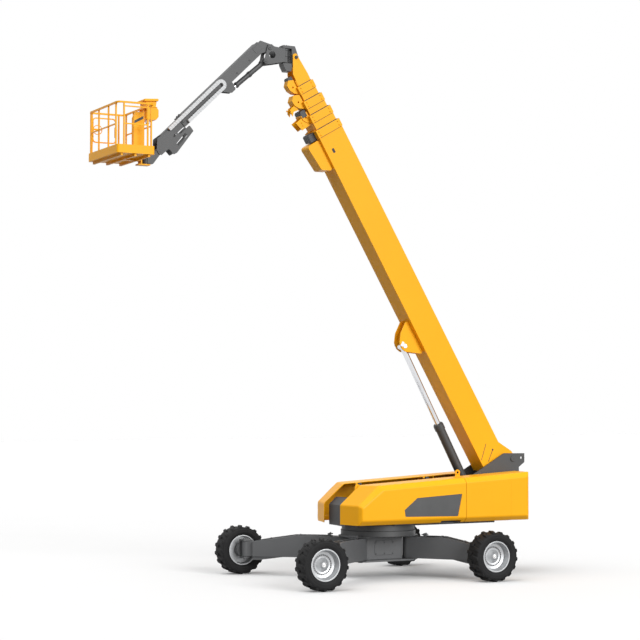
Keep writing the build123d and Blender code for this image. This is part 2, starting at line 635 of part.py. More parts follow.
jib_eye_x, jib_eye_z = jib_at(JIB_EYE_S, JIB_EYE_M)
jib_cyl_l = hypot(jib_eye_x - cyl_x, jib_eye_z - cyl_z)
jib_cyl_at = tilted(cyl_x, cyl_z, degrees(atan2(jib_eye_z - cyl_z, jib_eye_x - cyl_x)))
jib_barrel = along(jib_cyl_at, 0, jib_cyl_l - 150, 58) + cross(cyl_x, cyl_z, -50, 50, 70)
jib_barrel -= along(jib_cyl_at, 90, jib_cyl_l, 32 + FIT)
jib_barrel -= cross(cyl_x, cyl_z, -70, 70, 32 + FIT)
save(jib_barrel, "jib_barrel")
jib_rod = along(jib_cyl_at, 200, jib_cyl_l, 32) + cross(jib_eye_x, jib_eye_z, -52, 52, 46)
save(jib_rod, "jib_rod")

mid = (JIB_LO + JIB_HI) / 2
bend = 1560.0
u_out = prism(on_jib(rect(bend, JIB_END + 355, mid + 45, mid + 125)), JIB_HALF, JIB_HALF + 70)
u_out += prism(on_jib(rect(bend, JIB_END - 130, mid - 125, mid - 45)), JIB_HALF, JIB_HALF + 70)
bx, bz = jib_at(bend, mid)
loop = cross(bx, bz, JIB_HALF, JIB_HALF + 70, 125) - cross(bx, bz, JIB_HALF, JIB_HALF + 80, 45)
loop -= prism(on_jib(rect(bend, bend + 300, mid - 200, mid + 200)), JIB_HALF - 5, JIB_HALF + 80)
save(u_out + loop, "cable_carrier")

# Platform arm: level pin, arm and upright rotator
arm = cross(lx, lz, -HEAD_Y + 6, HEAD_Y - 6, 62)
link = [
    (lx - 30, lz - 55), (lx - 30, lz + 50), (lx + 40, lz + 50), (ROT_X - 135, FLOOR_Z + 95),
    (ROT_X, FLOOR_Z + 95),
    (ROT_X, FLOOR_Z - 90), (ROT_X - 135, FLOOR_Z - 90),
]
arm += prism(link, -HEAD_Y + 6, HEAD_Y - 6)
arm += post(ROT_X, 0, FLOOR_Z - ROT_DOWN, FLOOR_Z + ROT_UP, ROT_R)
arm -= cross(lx, lz, -HEAD_Y, HEAD_Y, 36 + FIT)
save(arm, "platform_arm")

# Basket: floor with toe boards and mounting yoke, rails, gate, console and locker
bx0 = ROT_X + BASKET_OFF
bx1 = bx0 + BASKET_L
bh = BASKET_HALF
floor_at = Pos((bx0 + bx1) / 2, 0, FLOOR_Z)
floor = extrude(floor_at * RectangleRounded(BASKET_L, 2 * bh, TOE_R), amount=45, dir=(0, 0, 1))
toe = floor_at * RectangleRounded(BASKET_L, 2 * bh, TOE_R)
toe -= floor_at * RectangleRounded(BASKET_L - 2 * TOE_T, 2 * (bh - TOE_T), TOE_R - TOE_T)
floor += extrude(toe, amount=TOE_H, dir=(0, 0, 1))
for x in (bx0 + 120, (bx0 + bx1) / 2, bx1 - 120):
    floor += block(x - BEAM_W / 2, x + BEAM_W / 2, 40 - bh, bh - 40, FLOOR_Z - BEAM_H, FLOOR_Z)
floor += block(bx0 - 30, bx0 + 400, -70, 70, FLOOR_Z - 40, FLOOR_Z)
floor += block(ROT_X - 75, bx0 + 60, -92, 92, FLOOR_Z + ROT_UP + FIT, FLOOR_Z + ROT_UP + YOKE_T)
floor += block(ROT_X - 75, bx0 + 60, -92, 92, FLOOR_Z - ROT_DOWN - YOKE_T, FLOOR_Z - ROT_DOWN - FIT)
floor += block(bx0 - YOKE_T, bx0, -92, 92, FLOOR_Z - ROT_DOWN - YOKE_T, FLOOR_Z + ROT_UP + YOKE_T)
save(floor, "basket_floor")

edge = RAIL_W / 2 + 7
bend_r = 80.0
gate_x0 = bx0 + 215
gate_x1 = bx1 - 85
gate_post = gate_x1 + POST_W / 2 + GATE_R + FIT
loop_l = BASKET_L - 2 * edge
loop_w = 2 * (bh - edge)
rim_of_rail = Pos((bx0 + bx1) / 2, 0, RAIL_Z - RAIL_W / 2)
top_rail = rim_of_rail * RectangleRounded(loop_l + RAIL_W, loop_w + RAIL_W, bend_r + RAIL_W / 2)
top_rail -= rim_of_rail * RectangleRounded(loop_l - RAIL_W, loop_w - RAIL_W, bend_r - RAIL_W / 2)
rails = extrude(top_rail, amount=RAIL_W, dir=(0, 0, 1))
near = bh - edge
in_x = bx0 + edge
out_x = bx1 - edge
rail_posts = [
    (in_x, 160 - bh), (in_x, -300), (in_x, 300), (in_x, bh - 160),
    (out_x, 160 - bh), (out_x, -300), (out_x, 300), (out_x, bh - 160),
    (bx0 + 160, near), (bx1 - 160, near), (gate_x0 - 60, -near), (gate_post, -near),
]
post_h = POST_W / 2
for x, y in rail_posts:
    rails += block(x - post_h, x + post_h, y - post_h, y + post_h, FLOOR_Z + 45, RAIL_Z)
mid_z = FLOOR_Z + 640
mid_h = MID_W / 2
for x in (in_x, out_x):
    rails += block(x - mid_h, x + mid_h, 160 - bh, bh - 160, mid_z - mid_h, mid_z + mid_h)
for z in (mid_z, RAIL_Z - 85):
    rails += block(bx0 + 160, bx1 - 160, near - mid_h, near + mid_h, z - mid_h, z + mid_h)
save(rails, "guard_rails")

# Gate: a rounded loop of flat bar on a round hinge post, at the right end of the basket
gate_z0 = FLOOR_Z + 440
gate_z1 = RAIL_Z - 90
gate_l = gate_x1 - gate_x0
gate_mid = ((gate_x0 + gate_x1) / 2, GATE_R - 3 - near, (gate_z0 + gate_z1) / 2)
upright = Plane(origin=gate_mid, x_dir=(1, 0, 0), z_dir=(0, -1, 0))
loop = upright * RectangleRounded(gate_l, gate_z1 - gate_z0, 90)
loop -= upright * RectangleRounded(gate_l - 2 * MID_W, gate_z1 - gate_z0 - 2 * MID_W, 90 - MID_W)
gate = extrude(loop, amount=2 * (GATE_R - 3))
gate += post(gate_x1, -near, gate_z0 - 30, gate_z1 + 30, GATE_R)
save(gate, "gate")

# Console: a chamfered box with a lid, hung on the inner rail, and a locker with a sloping top
con_x0 = bx0 - 290
con_x1 = bx0 - 5
con_z0 = RAIL_Z - 260
con_z1 = RAIL_Z + 16
body = [
    (con_x0 + 60, con_z0), (con_x1, con_z0), (con_x1, con_z1), (con_x0 + 45, con_z1), (con_x0, con_z1 - 50),
    (con_x0, con_z0 + 70),
]
console = prism(body, -25, 405)
console += block(con_x0 + 35, con_x1, -40, 420, con_z1, con_z1 + 14)
console += block(con_x1, bx0 + edge - RAIL_W / 2 - FIT, -40, 420, RAIL_Z - 25, RAIL_Z + 25)
save(console, "console")
box_x0 = bx0 + 140
box_x1 = bx0 + 390
box_z1 = RAIL_Z - 150
locker = [
    (box_x0, FLOOR_Z + 45), (box_x1, FLOOR_Z + 45), (box_x1, box_z1 - 130), (box_x1 - 60, box_z1),
    (box_x0, box_z1),
]
save(prism(locker, 520, 640), "locker")
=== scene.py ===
import math

import bmesh
import bpy
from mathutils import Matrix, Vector


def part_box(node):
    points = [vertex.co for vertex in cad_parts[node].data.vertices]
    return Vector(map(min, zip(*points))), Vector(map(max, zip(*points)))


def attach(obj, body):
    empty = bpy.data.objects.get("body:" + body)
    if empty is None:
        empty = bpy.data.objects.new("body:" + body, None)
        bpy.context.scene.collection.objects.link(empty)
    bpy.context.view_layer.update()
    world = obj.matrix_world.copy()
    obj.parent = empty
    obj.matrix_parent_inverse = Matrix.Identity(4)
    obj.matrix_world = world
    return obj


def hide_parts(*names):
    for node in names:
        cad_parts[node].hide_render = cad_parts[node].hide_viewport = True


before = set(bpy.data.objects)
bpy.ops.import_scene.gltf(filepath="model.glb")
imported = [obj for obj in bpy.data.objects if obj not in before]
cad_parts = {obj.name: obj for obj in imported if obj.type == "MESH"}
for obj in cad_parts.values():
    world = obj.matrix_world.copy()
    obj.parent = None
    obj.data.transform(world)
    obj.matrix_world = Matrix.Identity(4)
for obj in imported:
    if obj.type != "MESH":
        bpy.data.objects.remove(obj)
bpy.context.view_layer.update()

# Chassis box and slew ring
# A welded box of thick plate between two pin plates, with a bolted ball ring on top.
# Sand-blasted and sprayed in a satin dark grey, door screws and all; a rubber lip seals the ring.
GREY = (0.088, 0.090, 0.093)
RING_GREY = (0.042, 0.043, 0.044)
SEAL_AND_SHADE_BLACK = (0.014, 0.014, 0.015)
CLOUD_DETAIL = 6.0
CLOUD_FROM = 0.3
CLOUD_TO = 0.7
GRAIN_STRENGTH = 0.15
BROKEN_EDGE = 0.006
EDGE_STEPS = 2
SMOOTH_ANGLE = math.radians(32.0)
FLAT_ANGLE = math.radians(1.0)
WELD_GAP = 0.0002
SAME_POINT = 1e-5


def cloudy(name, colour, fleck, cloud_size, rough, rough_spread, grain_size, grain_depth,
           metal=0.0, shine=0.5):
    """A surface with slow clouds in colour and gloss and a fine grain in its relief; sizes in metres."""
    mat = bpy.data.materials.new(name)
    mat.use_nodes = True
    tree = mat.node_tree
    shader = tree.nodes["Principled BSDF"]
    shader.inputs["Metallic"].default_value = metal
    shader.inputs["Specular IOR Level"].default_value = shine
    place = tree.nodes.new("ShaderNodeTexCoord")
    cloud = tree.nodes.new("ShaderNodeTexNoise")
    cloud.inputs["Scale"].default_value = 1 / cloud_size
    cloud.inputs["Detail"].default_value = CLOUD_DETAIL
    tree.links.new(place.outputs["Object"], cloud.inputs["Vector"])
    tint = tree.nodes.new("ShaderNodeValToRGB")
    dark, light = tint.color_ramp.elements
    dark.position = CLOUD_FROM
    light.position = CLOUD_TO
    dark.color = [c * (1 - fleck) for c in colour] + [1]
    light.color = [min(1, c * (1 + fleck)) for c in colour] + [1]
    tree.links.new(cloud.outputs["Fac"], tint.inputs["Fac"])
    tree.links.new(tint.outputs["Color"], shader.inputs["Base Color"])
    gloss = tree.nodes.new("ShaderNodeMapRange")
    gloss.inputs["To Min"].default_value = rough - rough_spread
    gloss.inputs["To Max"].default_value = rough + rough_spread
    tree.links.new(cloud.outputs["Fac"], gloss.inputs["Value"])
    tree.links.new(gloss.outputs["Result"], shader.inputs["Roughness"])
    grain = tree.nodes.new("ShaderNodeTexNoise")
    grain.inputs["Scale"].default_value = 1 / grain_size
    tree.links.new(place.outputs["Object"], grain.inputs["Vector"])
    relief = tree.nodes.new("ShaderNodeBump")
    relief.inputs["Strength"].default_value = GRAIN_STRENGTH
    relief.inputs["Distance"].default_value = grain_depth
    tree.links.new(grain.outputs["Fac"], relief.inputs["Height"])
    tree.links.new(relief.outputs["Normal"], shader.inputs["Normal"])
    return mat


def geometry_group(name):
    """An empty node group that takes a mesh in and gives a mesh out."""
    group = bpy.data.node_groups.new(name, "GeometryNodeTree")
    group.interface.new_socket("Geometry", in_out="INPUT", socket_type="NodeSocketGeometry")
    group.interface.new_socket("Geometry", in_out="OUTPUT", socket_type="NodeSocketGeometry")
    return group, group.nodes.new("NodeGroupInput"), group.nodes.new("NodeGroupOutput")


def edge_test(group, operation, limit):
    """Picks the edges whose angle lies above or below a limit."""
    angle = group.nodes.new("GeometryNodeInputMeshEdgeAngle")
    test = group.nodes.new("FunctionNodeCompare")
    test.operation = operation
    test.inputs[1].default_value = limit
    group.links.new(angle.outputs["Unsigned Angle"], test.inputs[0])
    return test.outputs[0]


def smoothing_nodes():
    """Smooth shading that keeps every edge sharper than SMOOTH_ANGLE crisp."""
    group, start, end = geometry_group("smooth_by_angle")
    faces = group.nodes.new("GeometryNodeSetShadeSmooth")
    edges = group.nodes.new("GeometryNodeSetShadeSmooth")
    edges.domain = "EDGE"
    edges.inputs["Shade Smooth"].default_value = False
    group.links.new(start.outputs[0], faces.inputs["Geometry"])
    group.links.new(faces.outputs["Geometry"], edges.inputs["Geometry"])
    group.links.new(edge_test(group, "GREATER_THAN", SMOOTH_ANGLE), edges.inputs["Selection"])
    group.links.new(edges.outputs["Geometry"], end.inputs[0])
    return group


smoothing = smoothing_nodes()


def break_edges(piece, width):
    """Rounds the sharp edges of a piece a little, as grinding and paint do."""
    bevel = piece.modifiers.new("edge", "BEVEL")
    bevel.width = width
    bevel.segments = EDGE_STEPS
    bevel.limit_method = "ANGLE"
    bevel.angle_limit = SMOOTH_ANGLE


def finish_node(name, material, edge=BROKEN_EDGE):
    """Gives a CAD piece its material, breaks its edges and smooths its rounds."""
    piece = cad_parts[name]
    piece.data.materials.clear()
    piece.data.materials.append(material)
    weld = piece.modifiers.new("weld", "WELD")
    weld.merge_threshold = WELD_GAP
    flat = piece.modifiers.new("flat", "DECIMATE")
    flat.decimate_type = "DISSOLVE"
    flat.angle_limit = FLAT_ANGLE
    break_edges(piece, edge)
    piece.modifiers.new("shade", "NODES").node_group = smoothing
    normals = piece.modifiers.new("normals", "WEIGHTED_NORMAL")
    normals.keep_sharp = True
    return piece


def ride_on(name, data, body, material):
    """Makes a mesh or a curve a named piece that rides on a body and takes the given material."""
    data.materials.append(material)
    piece = bpy.data.objects.new(name, data)
    bpy.context.scene.collection.objects.link(piece)
    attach(piece, body)
    return piece


def add_piece(name, bm, body, material, edge=0.0):
    """Closes a mesh, smooths its rounds and makes it a piece, with broken edges where edge is given."""
    bmesh.ops.remove_doubles(bm, verts=bm.verts, dist=SAME_POINT)
    bmesh.ops.recalc_face_normals(bm, faces=bm.faces)
    mesh = bpy.data.meshes.new(name)
    bm.to_mesh(mesh)
    bm.free()
    mesh.shade_smooth()
    mesh.set_sharp_from_angle(angle=SMOOTH_ANGLE)
    piece = ride_on(name, mesh, body, material)
    if edge > 0:
        break_edges(piece, edge)
    return piece


def round_axis(axis):
    """An axis of length one, and two directions square to it and to each other."""
    axis = Vector(axis).normalized()
    side = axis.orthogonal().normalized()
    return axis, side, axis.cross(side)


def lathe(bm, outline, at, axis, steps=48):
    """Spins a closed outline of (radius, distance along the axis) pairs round an axis through at."""
    axis, side, other = round_axis(axis)
    rings = []
    for k in range(steps):
        turn = 2 * math.pi * k / steps
        spoke = math.cos(turn) * side + math.sin(turn) * other
        rings.append([bm.verts.new(Vector(at) + r * spoke + d * axis) for r, d in outline])
    for k in range(steps):
        here = rings[k]
        there = rings[(k + 1) % steps]
        for i in range(len(outline)):
            j = (i + 1) % len(outline)
            bm.faces.new((here[i], here[j], there[j], there[i]))


# Bolt head and washer, in shares of the width across flats
BOLT_HEAD = [(0, 0.1), (0.577, 0.1), (0.577, 0.62), (0.48, 0.72), (0, 0.72)]
BOLT_WASHER = [(0, -0.05), (0.95, -0.05), (0.95, 0.12), (0.9, 0.17), (0, 0.17)]
WASHER_STEPS = 16


def hex_bolts(bm, places, out, flats):
    """A washer and a chamfered six-sided head at each place, standing along out."""
    for place in places:
        lathe(bm, [(r * flats, d * flats) for r, d in BOLT_WASHER], place, out, WASHER_STEPS)
        lathe(bm, [(r * flats, d * flats) for r, d in BOLT_HEAD], place, out, 6)


def circle(at, axis, radius, count, start=0.0):
    """Points spaced evenly on a circle round an axis."""
    side, other = round_axis(axis)[1:]
    turns = [start + 2 * math.pi * k / count for k in range(count)]
    return [Vector(at) + radius * (math.cos(t) * side + math.sin(t) * other) for t in turns]


def box_corners(node):
    """Lowest and highest corner of a CAD piece at rest."""
    low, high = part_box(node)
    return Vector(low), Vector(high)


chassis_grey = cloudy("chassis_grey", GREY, 0.08, 0.8, 0.48, 0.07, 0.006, 0.002)
ring_grey = cloudy("ring_grey", RING_GREY, 0.12, 0.3, 0.45, 0.07, 0.004, 0.001)
# Black rubber for the seal and wipers, also the painted shade in the boom's slots and the painted shadow
# lines at its collars
black_rubber_and_shade = cloudy("black_rubber_and_shade", SEAL_AND_SHADE_BLACK, 0.15, 0.05, 0.62, 0.08, 0.003, 0.001)
finish_node("chassis_box", chassis_grey)
finish_node("slew_ring", ring_grey)

SEAL_IN = 0.019
SEAL_OUT = 0.002
SEAL_LEAN = 0.004
SEAL_LIP_H = 0.012
SEAL_H = 0.018
SEAL_STEPS = 96
ring_low, ring_high = box_corners("slew_ring")
ring_mid = (ring_low + ring_high) / 2
ring_r = (ring_high.x - ring_low.x) / 2
seal = [
    (ring_r - SEAL_IN, 0.0), (ring_r - SEAL_OUT, 0.0), (ring_r - SEAL_LEAN, SEAL_LIP_H),
    (ring_r - SEAL_IN, SEAL_H),
]
bm = bmesh.new()
lathe(bm, seal, (ring_mid.x, 0, ring_high.z), (0, 0, 1), SEAL_STEPS)
add_piece("slew_seal", bm, "chassis", black_rubber_and_shade)

DOOR_L = 0.52
DOOR_H = 0.33
DOOR_Z = 0.70
DOOR_OUT = 0.312
DOOR_MARGIN = 0.035
DOOR_SCREW = 0.024
bm = bmesh.new()
for side in (1, -1):
    for fx in (-1, 0, 1):
        for fz in (-1, 1):
            x = ring_mid.x + fx * (DOOR_L / 2 - DOOR_MARGIN)
            z = DOOR_Z + fz * (DOOR_H / 2 - DOOR_MARGIN)
            hex_bolts(bm, [(x, side * DOOR_OUT, z)], (0, side, 0), DOOR_SCREW)
add_piece("door_screws", bm, "chassis", chassis_grey)

# Swing-out axle legs, steering knuckles and king pins
# Tapered box beams of welded plate, each turning on a chassis pin, with a forged knuckle at its end.
# The same grey paint; bolted caps hold the king pins, and clamped steel pipes run along each leg's top
# from a bridge of hose unions.
CORNERS = ("fl", "fr", "rl", "rr")
SQUARE = [(-1, -1), (1, -1), (1, 1), (-1, 1)]
SUNK = 0.002
KING_IN = 0.090
# King pin ends: height, direction
KING_ENDS = [(0.85, 1), (0.40, -1)]
CAP_R = 0.072
CAP_T = 0.014
CAP_CHAMFER = 0.004
CAP_BOLTS = 4
CAP_BOLT_R = 0.05
CAP_BOLT_TURN = 0.6
CAP_BOLT = 0.019
PIVOT_X = 0.650
PIVOT_Y = 0.330
LEG_TOP = 0.952
LEG_END_TOP = 0.800
LEG_NECK = 0.185
PIPE_R = 0.009
PIPE_LIFT = 0.018
PIPE_FROM = 0.34
PIPE_TO = 0.31
PIPE_RAMP = 0.02
PIPE_KNEE = 0.05
PIPE_LANES = (-0.045, -0.015, 0.015, 0.045)
# Clamps: first from the pivot, second ahead of the knee, third as a share of the leg's reach
CLAMP_FIRST = 0.44
CLAMP_AHEAD = 0.1
CLAMP_LAST = 0.75
CLAMP_HALF = 0.02
CLAMP_SIDE = 0.07
CLAMP_H = 0.032
CLAMP_BOLT = 0.014
BRIDGE_U = 0.400
BRIDGE_SIDE = 0.105
BRIDGE_H = 0.085
BRIDGE_T = 0.012
UNION_Z = 0.052
UNION_LANES = (-0.08, -0.04, 0.0, 0.04, 0.08)
UNION_STEPS = 12
UNION = [
    (0, -0.055), (0.011, -0.055), (0.011, -0.02), (0.017, -0.02), (0.017, 0.02), (0.011, 0.02),
    (0.011, 0.05), (0, 0.05),
]


def slab(bm, corners, depth):
    """A flat plate: an outline of points carried along depth."""
    near = [bm.verts.new(Vector(c)) for c in corners]
    far = [bm.verts.new(Vector(c) + Vector(depth)) for c in corners]
    bm.faces.new(near)
    bm.faces.new(list(reversed(far)))
    for i in range(len(near)):
        j = (i + 1) % len(near)
        bm.faces.new((near[i], far[i], far[j], near[j]))


def button(radius, foot, top, slope, drop):
    """Outline of a round cap from foot to top, its rim chamfered by slope inwards and drop down."""
    return [(0, foot), (radius, foot), (radius, top - drop), (radius - slope, top), (0, top)]


def leg_top(u, reach):
    """Height of a leg's upper plate at a distance from its pivot: level to half way, then falling."""
    fall = (u - 0.5 * reach) / (0.5 * reach - LEG_NECK)
    return LEG_TOP - max(0.0, min(1.0, fall)) * (LEG_TOP - LEG_END_TOP)


def add_pipes(name, lines, radius, body, material):
    """Bent steel pipes: one smooth line through each list of points, swept with a round section."""
    curve = bpy.data.curves.new(name, "CURVE")
    curve.dimensions = "3D"
    curve.bevel_depth = radius
    curve.bevel_resolution = 3
    curve.use_fill_caps = True
    for line in lines:
        spline = curve.splines.new("NURBS")
        spline.points.add(len(line) - 1)
        for point, at in zip(spline.points, line):
            point.co = (at[0], at[1], at[2], 1)
        spline.order_u = 3
        spline.use_endpoint_u = True
        spline.resolution_u = 6
    return ride_on(name, curve, body, material)


for name in CORNERS:
    finish_node("axle_leg_" + name, chassis_grey)
    finish_node("knuckle_" + name, chassis_grey)
    low, high = box_corners("knuckle_" + name)
    king_x = (low.x + high.x) / 2
    king_y = low.y + KING_IN if low.y > 0 else high.y - KING_IN
    caps = bmesh.new()
    bolts = bmesh.new()
    for z, up in KING_ENDS:
        cap = button(radius=CAP_R, foot=-SUNK, top=CAP_T, slope=CAP_CHAMFER, drop=CAP_CHAMFER)
        lathe(caps, cap, (king_x, king_y, z), (0, 0, up))
        face = (king_x, king_y, z + up * CAP_T)
        ring = circle(face, (0, 0, up), CAP_BOLT_R, CAP_BOLTS, CAP_BOLT_TURN)
        hex_bolts(bolts, ring, (0, 0, up), CAP_BOLT)
    add_piece("king_caps_" + name, caps, "knuckle_" + name, chassis_grey)

    pivot_x = ring_mid.x + math.copysign(PIVOT_X, king_x - ring_mid.x)
    root = Vector((pivot_x, math.copysign(PIVOT_Y, king_y), 0))
    run = Vector((king_x, king_y, 0)) - root
    reach = run.length
    run.normalize()
    across = Vector((-run.y, run.x, 0))
    route = [
        (PIPE_FROM, 0.0), (PIPE_FROM + PIPE_RAMP, PIPE_LIFT), (0.5 * reach, PIPE_LIFT),
        (0.5 * reach + PIPE_KNEE, PIPE_LIFT), (reach - PIPE_TO - PIPE_RAMP, PIPE_LIFT),
        (reach - PIPE_TO, 0.0),
    ]
    spine = [root + u * run + Vector((0, 0, leg_top(u, reach) + lift)) for u, lift in route]
    lines = [[at + lane * across for at in spine] for lane in PIPE_LANES]
    add_pipes("leg_pipes_" + name, lines, PIPE_R, "leg_" + name, ring_grey)

    clamps = bmesh.new()
    for u in (CLAMP_FIRST, 0.5 * reach - CLAMP_AHEAD, CLAMP_LAST * reach):
        lean = leg_top(u + CLAMP_HALF, reach) - leg_top(u - CLAMP_HALF, reach)
        base = root + u * run + Vector((0, 0, leg_top(u, reach) - SUNK))
        step = CLAMP_HALF * run + Vector((0, 0, lean / 2))
        slab(clamps, [base + a * step + b * CLAMP_SIDE * across for a, b in SQUARE], (0, 0, CLAMP_H))
        hex_bolts(clamps, [base + Vector((0, 0, CLAMP_H))], (0, 0, 1), CLAMP_BOLT)
    bridge = root + BRIDGE_U * run + Vector((0, 0, LEG_TOP - SUNK))
    plate = [(-1, 0), (1, 0), (1, BRIDGE_H), (-1, BRIDGE_H)]
    slab(clamps, [bridge + a * BRIDGE_SIDE * across + Vector((0, 0, z)) for a, z in plate], BRIDGE_T * run)
    for lane in UNION_LANES:
        at = bridge + lane * across + Vector((0, 0, UNION_Z)) + BRIDGE_T / 2 * run
        lathe(clamps, UNION, at, run, UNION_STEPS)
    add_piece("leg_clamps_" + name, clamps, "leg_" + name, chassis_grey, edge=0.003)
    add_piece("king_bolts_" + name, bolts, "knuckle_" + name, chassis_grey)

# Wheel rims
# Pressed steel dishes on the hub reducers, sprayed silver, with a ring of nuts and a bright hub cap.
# The cap is turned from the bar and screwed to the reducer's end.
SILVER = (0.46, 0.47, 0.48)
BRIGHT = (0.80, 0.80, 0.80)
DULL_ZINC = (0.16, 0.16, 0.165)
NUTS = 28
NUT_RING_R = 0.215
NUT_Y = 0.0225
NUT = 0.024
HUB_END = 0.112
HUB_FACE = 0.020
HUB_SCREW = 0.022
HUB_CAP = [
    (0, -0.004), (0.058, -0.004), (0.058, 0.010), (0.050, 0.018), (0.030, 0.026), (0.024, HUB_FACE),
    (0, HUB_FACE),
]
silver_paint = cloudy("silver_paint", SILVER, 0.06, 0.12, 0.36, 0.05, 0.004, 0.001, metal=0.55)
bright_steel = cloudy("bright_steel", BRIGHT, 0.05, 0.05, 0.16, 0.05, 0.0015, 0.0003, metal=1.0)
dull_zinc = cloudy("dull_zinc", DULL_ZINC, 0.15, 0.03, 0.45, 0.08, 0.002, 0.0005)
wheel_at = {}
for name in CORNERS:
    finish_node("rim_" + name, silver_paint, edge=0.004)
    low, high = box_corners("tyre_" + name)
    middle = (low + high) / 2
    out = 1 if middle.y > 0 else -1
    axle = Vector((0, out, 0))
    wheel_at[name] = (middle, out)
    bm = bmesh.new()
    hex_bolts(bm, circle(middle + NUT_Y * axle, axle, NUT_RING_R, NUTS), axle, NUT)
    add_piece("wheel_nuts_" + name, bm, "wheel_" + name, dull_zinc)
    bm = bmesh.new()
    lathe(bm, HUB_CAP, middle + HUB_END * axle, axle)
    hex_bolts(bm, [middle + (HUB_END + HUB_FACE) * axle], axle, HUB_SCREW)
    add_piece("hub_cap_" + name, bm, "wheel_" + name, bright_steel)

# Tyres
# Foam-filled rubber tyres moulded in one piece: a rounded carcass with bead rings on its walls and
# two staggered rows of leaning lugs whose ends run over the shoulder.
RUBBER = (0.0125, 0.0125, 0.0130)
TYRE_R = 0.5775
TYRE_HALF = 0.2225
LUG_H = 0.038
TREAD_R = TYRE_R - LUG_H
BORE_R = 0.357
BEAD_HALF = 0.190
BEAD_T = 0.01
LUGS = 17
LUG_PITCH = 2 * math.pi / LUGS
LUG_HALF_TOP = 0.036
LUG_HALF_FOOT = 0.046
LUG_FOOT = 0.012
LUG_CHAMFER = 0.006
LUG_TAPER = 0.1
LUG_LEAN = 0.046
LUG_IN = 0.010
LUG_OUT = TYRE_HALF - 0.009
LUG_SHIFT = 0.062
LUG_TURN = math.asin(LUG_SHIFT / TYRE_R)
STEPS_PER_LUG = 6
# Wall from the bore to the tread: radius, distance from the middle
WALL = [
    (BORE_R, BEAD_HALF - BEAD_T), (BORE_R, BEAD_HALF), (0.372, 0.1985), (0.394, 0.2105), (0.416, 0.2210),
    (0.428, 0.2225), (0.431, 0.2255), (0.437, 0.2255), (0.440, 0.2225), (0.474, 0.2235), (0.477, 0.2260),
    (0.482, 0.2260), (0.485, 0.2225), (0.504, 0.2200), (0.524, 0.2120), (0.535, 0.2020), (TREAD_R, 0.186),
    (TREAD_R, 0.06),
]
CARCASS = WALL + [(r, -y) for r, y in reversed(WALL)]
# Stations along a lug: share of its length, height above the tread, how far its end runs out
LUG_RUN = [
    (0.0, 0.022, 0.0), (0.06, 0.0365, 0.0), (0.55, 0.0370, 0.0), (0.86, 0.0350, 0.0), (1.0, 0.0120, 0.006),
]
rubber = cloudy("rubber", RUBBER, 0.22, 0.25, 0.66, 0.09, 0.004, 0.0015, shine=0.18)


def tyre_lug(bm, middle, out, phase, side):
    """One leaning lug: a tapered bar laid on the carcass, its top edges chamfered."""
    stations = []
    for share, height, run_out in LUG_RUN:
        y = side * (LUG_IN + share * (LUG_OUT - LUG_IN) + run_out)
        lean = (share - 0.5) * LUG_LEAN * side
        foot = TREAD_R - LUG_FOOT
        top = TREAD_R + height
        half = LUG_HALF_TOP * (1 - LUG_TAPER * share)
        ring = [
            (-LUG_HALF_FOOT, foot), (-half, top - LUG_CHAMFER), (-half + LUG_CHAMFER, top),
            (half - LUG_CHAMFER, top), (half, top - LUG_CHAMFER), (LUG_HALF_FOOT, foot),
        ]
        row = []
        for x, r in ring:
            turn = phase + (x + lean) / TREAD_R
            row.append(bm.verts.new(middle + Vector((out * r * math.sin(turn), out * y, r * math.cos(turn)))))
        stations.append(row)
    for here, there in zip(stations, stations[1:]):
        for i in range(len(here)):
            j = (i + 1) % len(here)
            bm.faces.new((here[i], here[j], there[j], there[i]))
    bm.faces.new(stations[0])
    bm.faces.new(list(reversed(stations[-1])))


for name in CORNERS:
    middle, out = wheel_at[name]
    bm = bmesh.new()
    lathe(bm, CARCASS, middle, (0, 1, 0), STEPS_PER_LUG * LUGS)
    for k in range(LUGS):
        tyre_lug(bm, middle, out, LUG_TURN + k * LUG_PITCH, 1)
        tyre_lug(bm, middle, out, LUG_TURN + (k + 0.5) * LUG_PITCH, -1)
    tyre = add_piece("rubber_tyre_" + name, bm, "wheel_" + name, rubber)
    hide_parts("tyre_" + name)

# Turntable deck, side plates, pins and nose panel
# Two tall cheeks of thick plate welded on a round deck; the boom foot pin and the cylinder pin pass
# through both, and small bolted bars keep the cylinder pin. The nose is one folded sheet.
UPPER_GREY = (0.043, 0.044, 0.045)
BOOM_PIN = (-5.080, 2.720)
LIFT_PIN = (-4.160, 1.700)
CHEEK_OUT = 0.357
PIN_HEAD = [
    (0, -SUNK), (0.062, -SUNK), (0.062, 0.020), (0.056, 0.026), (0.020, 0.026), (0.016, 0.020), (0, 0.020),
]
KEEPER_T = 0.012
# Keeper's half width, bolt places and bolt size, in shares of its length, its half length and its length
KEEPER_WIDE = 0.24
KEEPER_BOLT_AT = 0.66
KEEPER_BOLT = 0.15
LIFT_KEEPER_X = 0.080
LIFT_KEEPER_L = 0.13
LIFT_KEEPER_TURN = 1.57
grey_paint = cloudy("grey_paint", UPPER_GREY, 0.08, 0.8, 0.48, 0.07, 0.006, 0.002)
for name in ("turntable_frame", "side_plate_left", "side_plate_right", "nose_panel"):
    finish_node(name, grey_paint)
finish_node("foot_pins", grey_paint, edge=0.005)


def keeper(plates, bolts, at, side, length, turn):
    """The bar that keeps a cross pin: it lies on the plate at a point beside the pin, with two bolts."""
    along = Vector((math.cos(turn), 0, math.sin(turn)))
    across = Vector((-math.sin(turn), 0, math.cos(turn)))
    thick = Vector((0, side * KEEPER_T, 0))
    half = length / 2
    wide = KEEPER_WIDE * length
    slab(plates, [at + a * half * along + b * wide * across for a, b in SQUARE], thick)
    places = [at + a * KEEPER_BOLT_AT * half * along + thick for a in (-1, 1)]
    hex_bolts(bolts, places, (0, side, 0), KEEPER_BOLT * length)


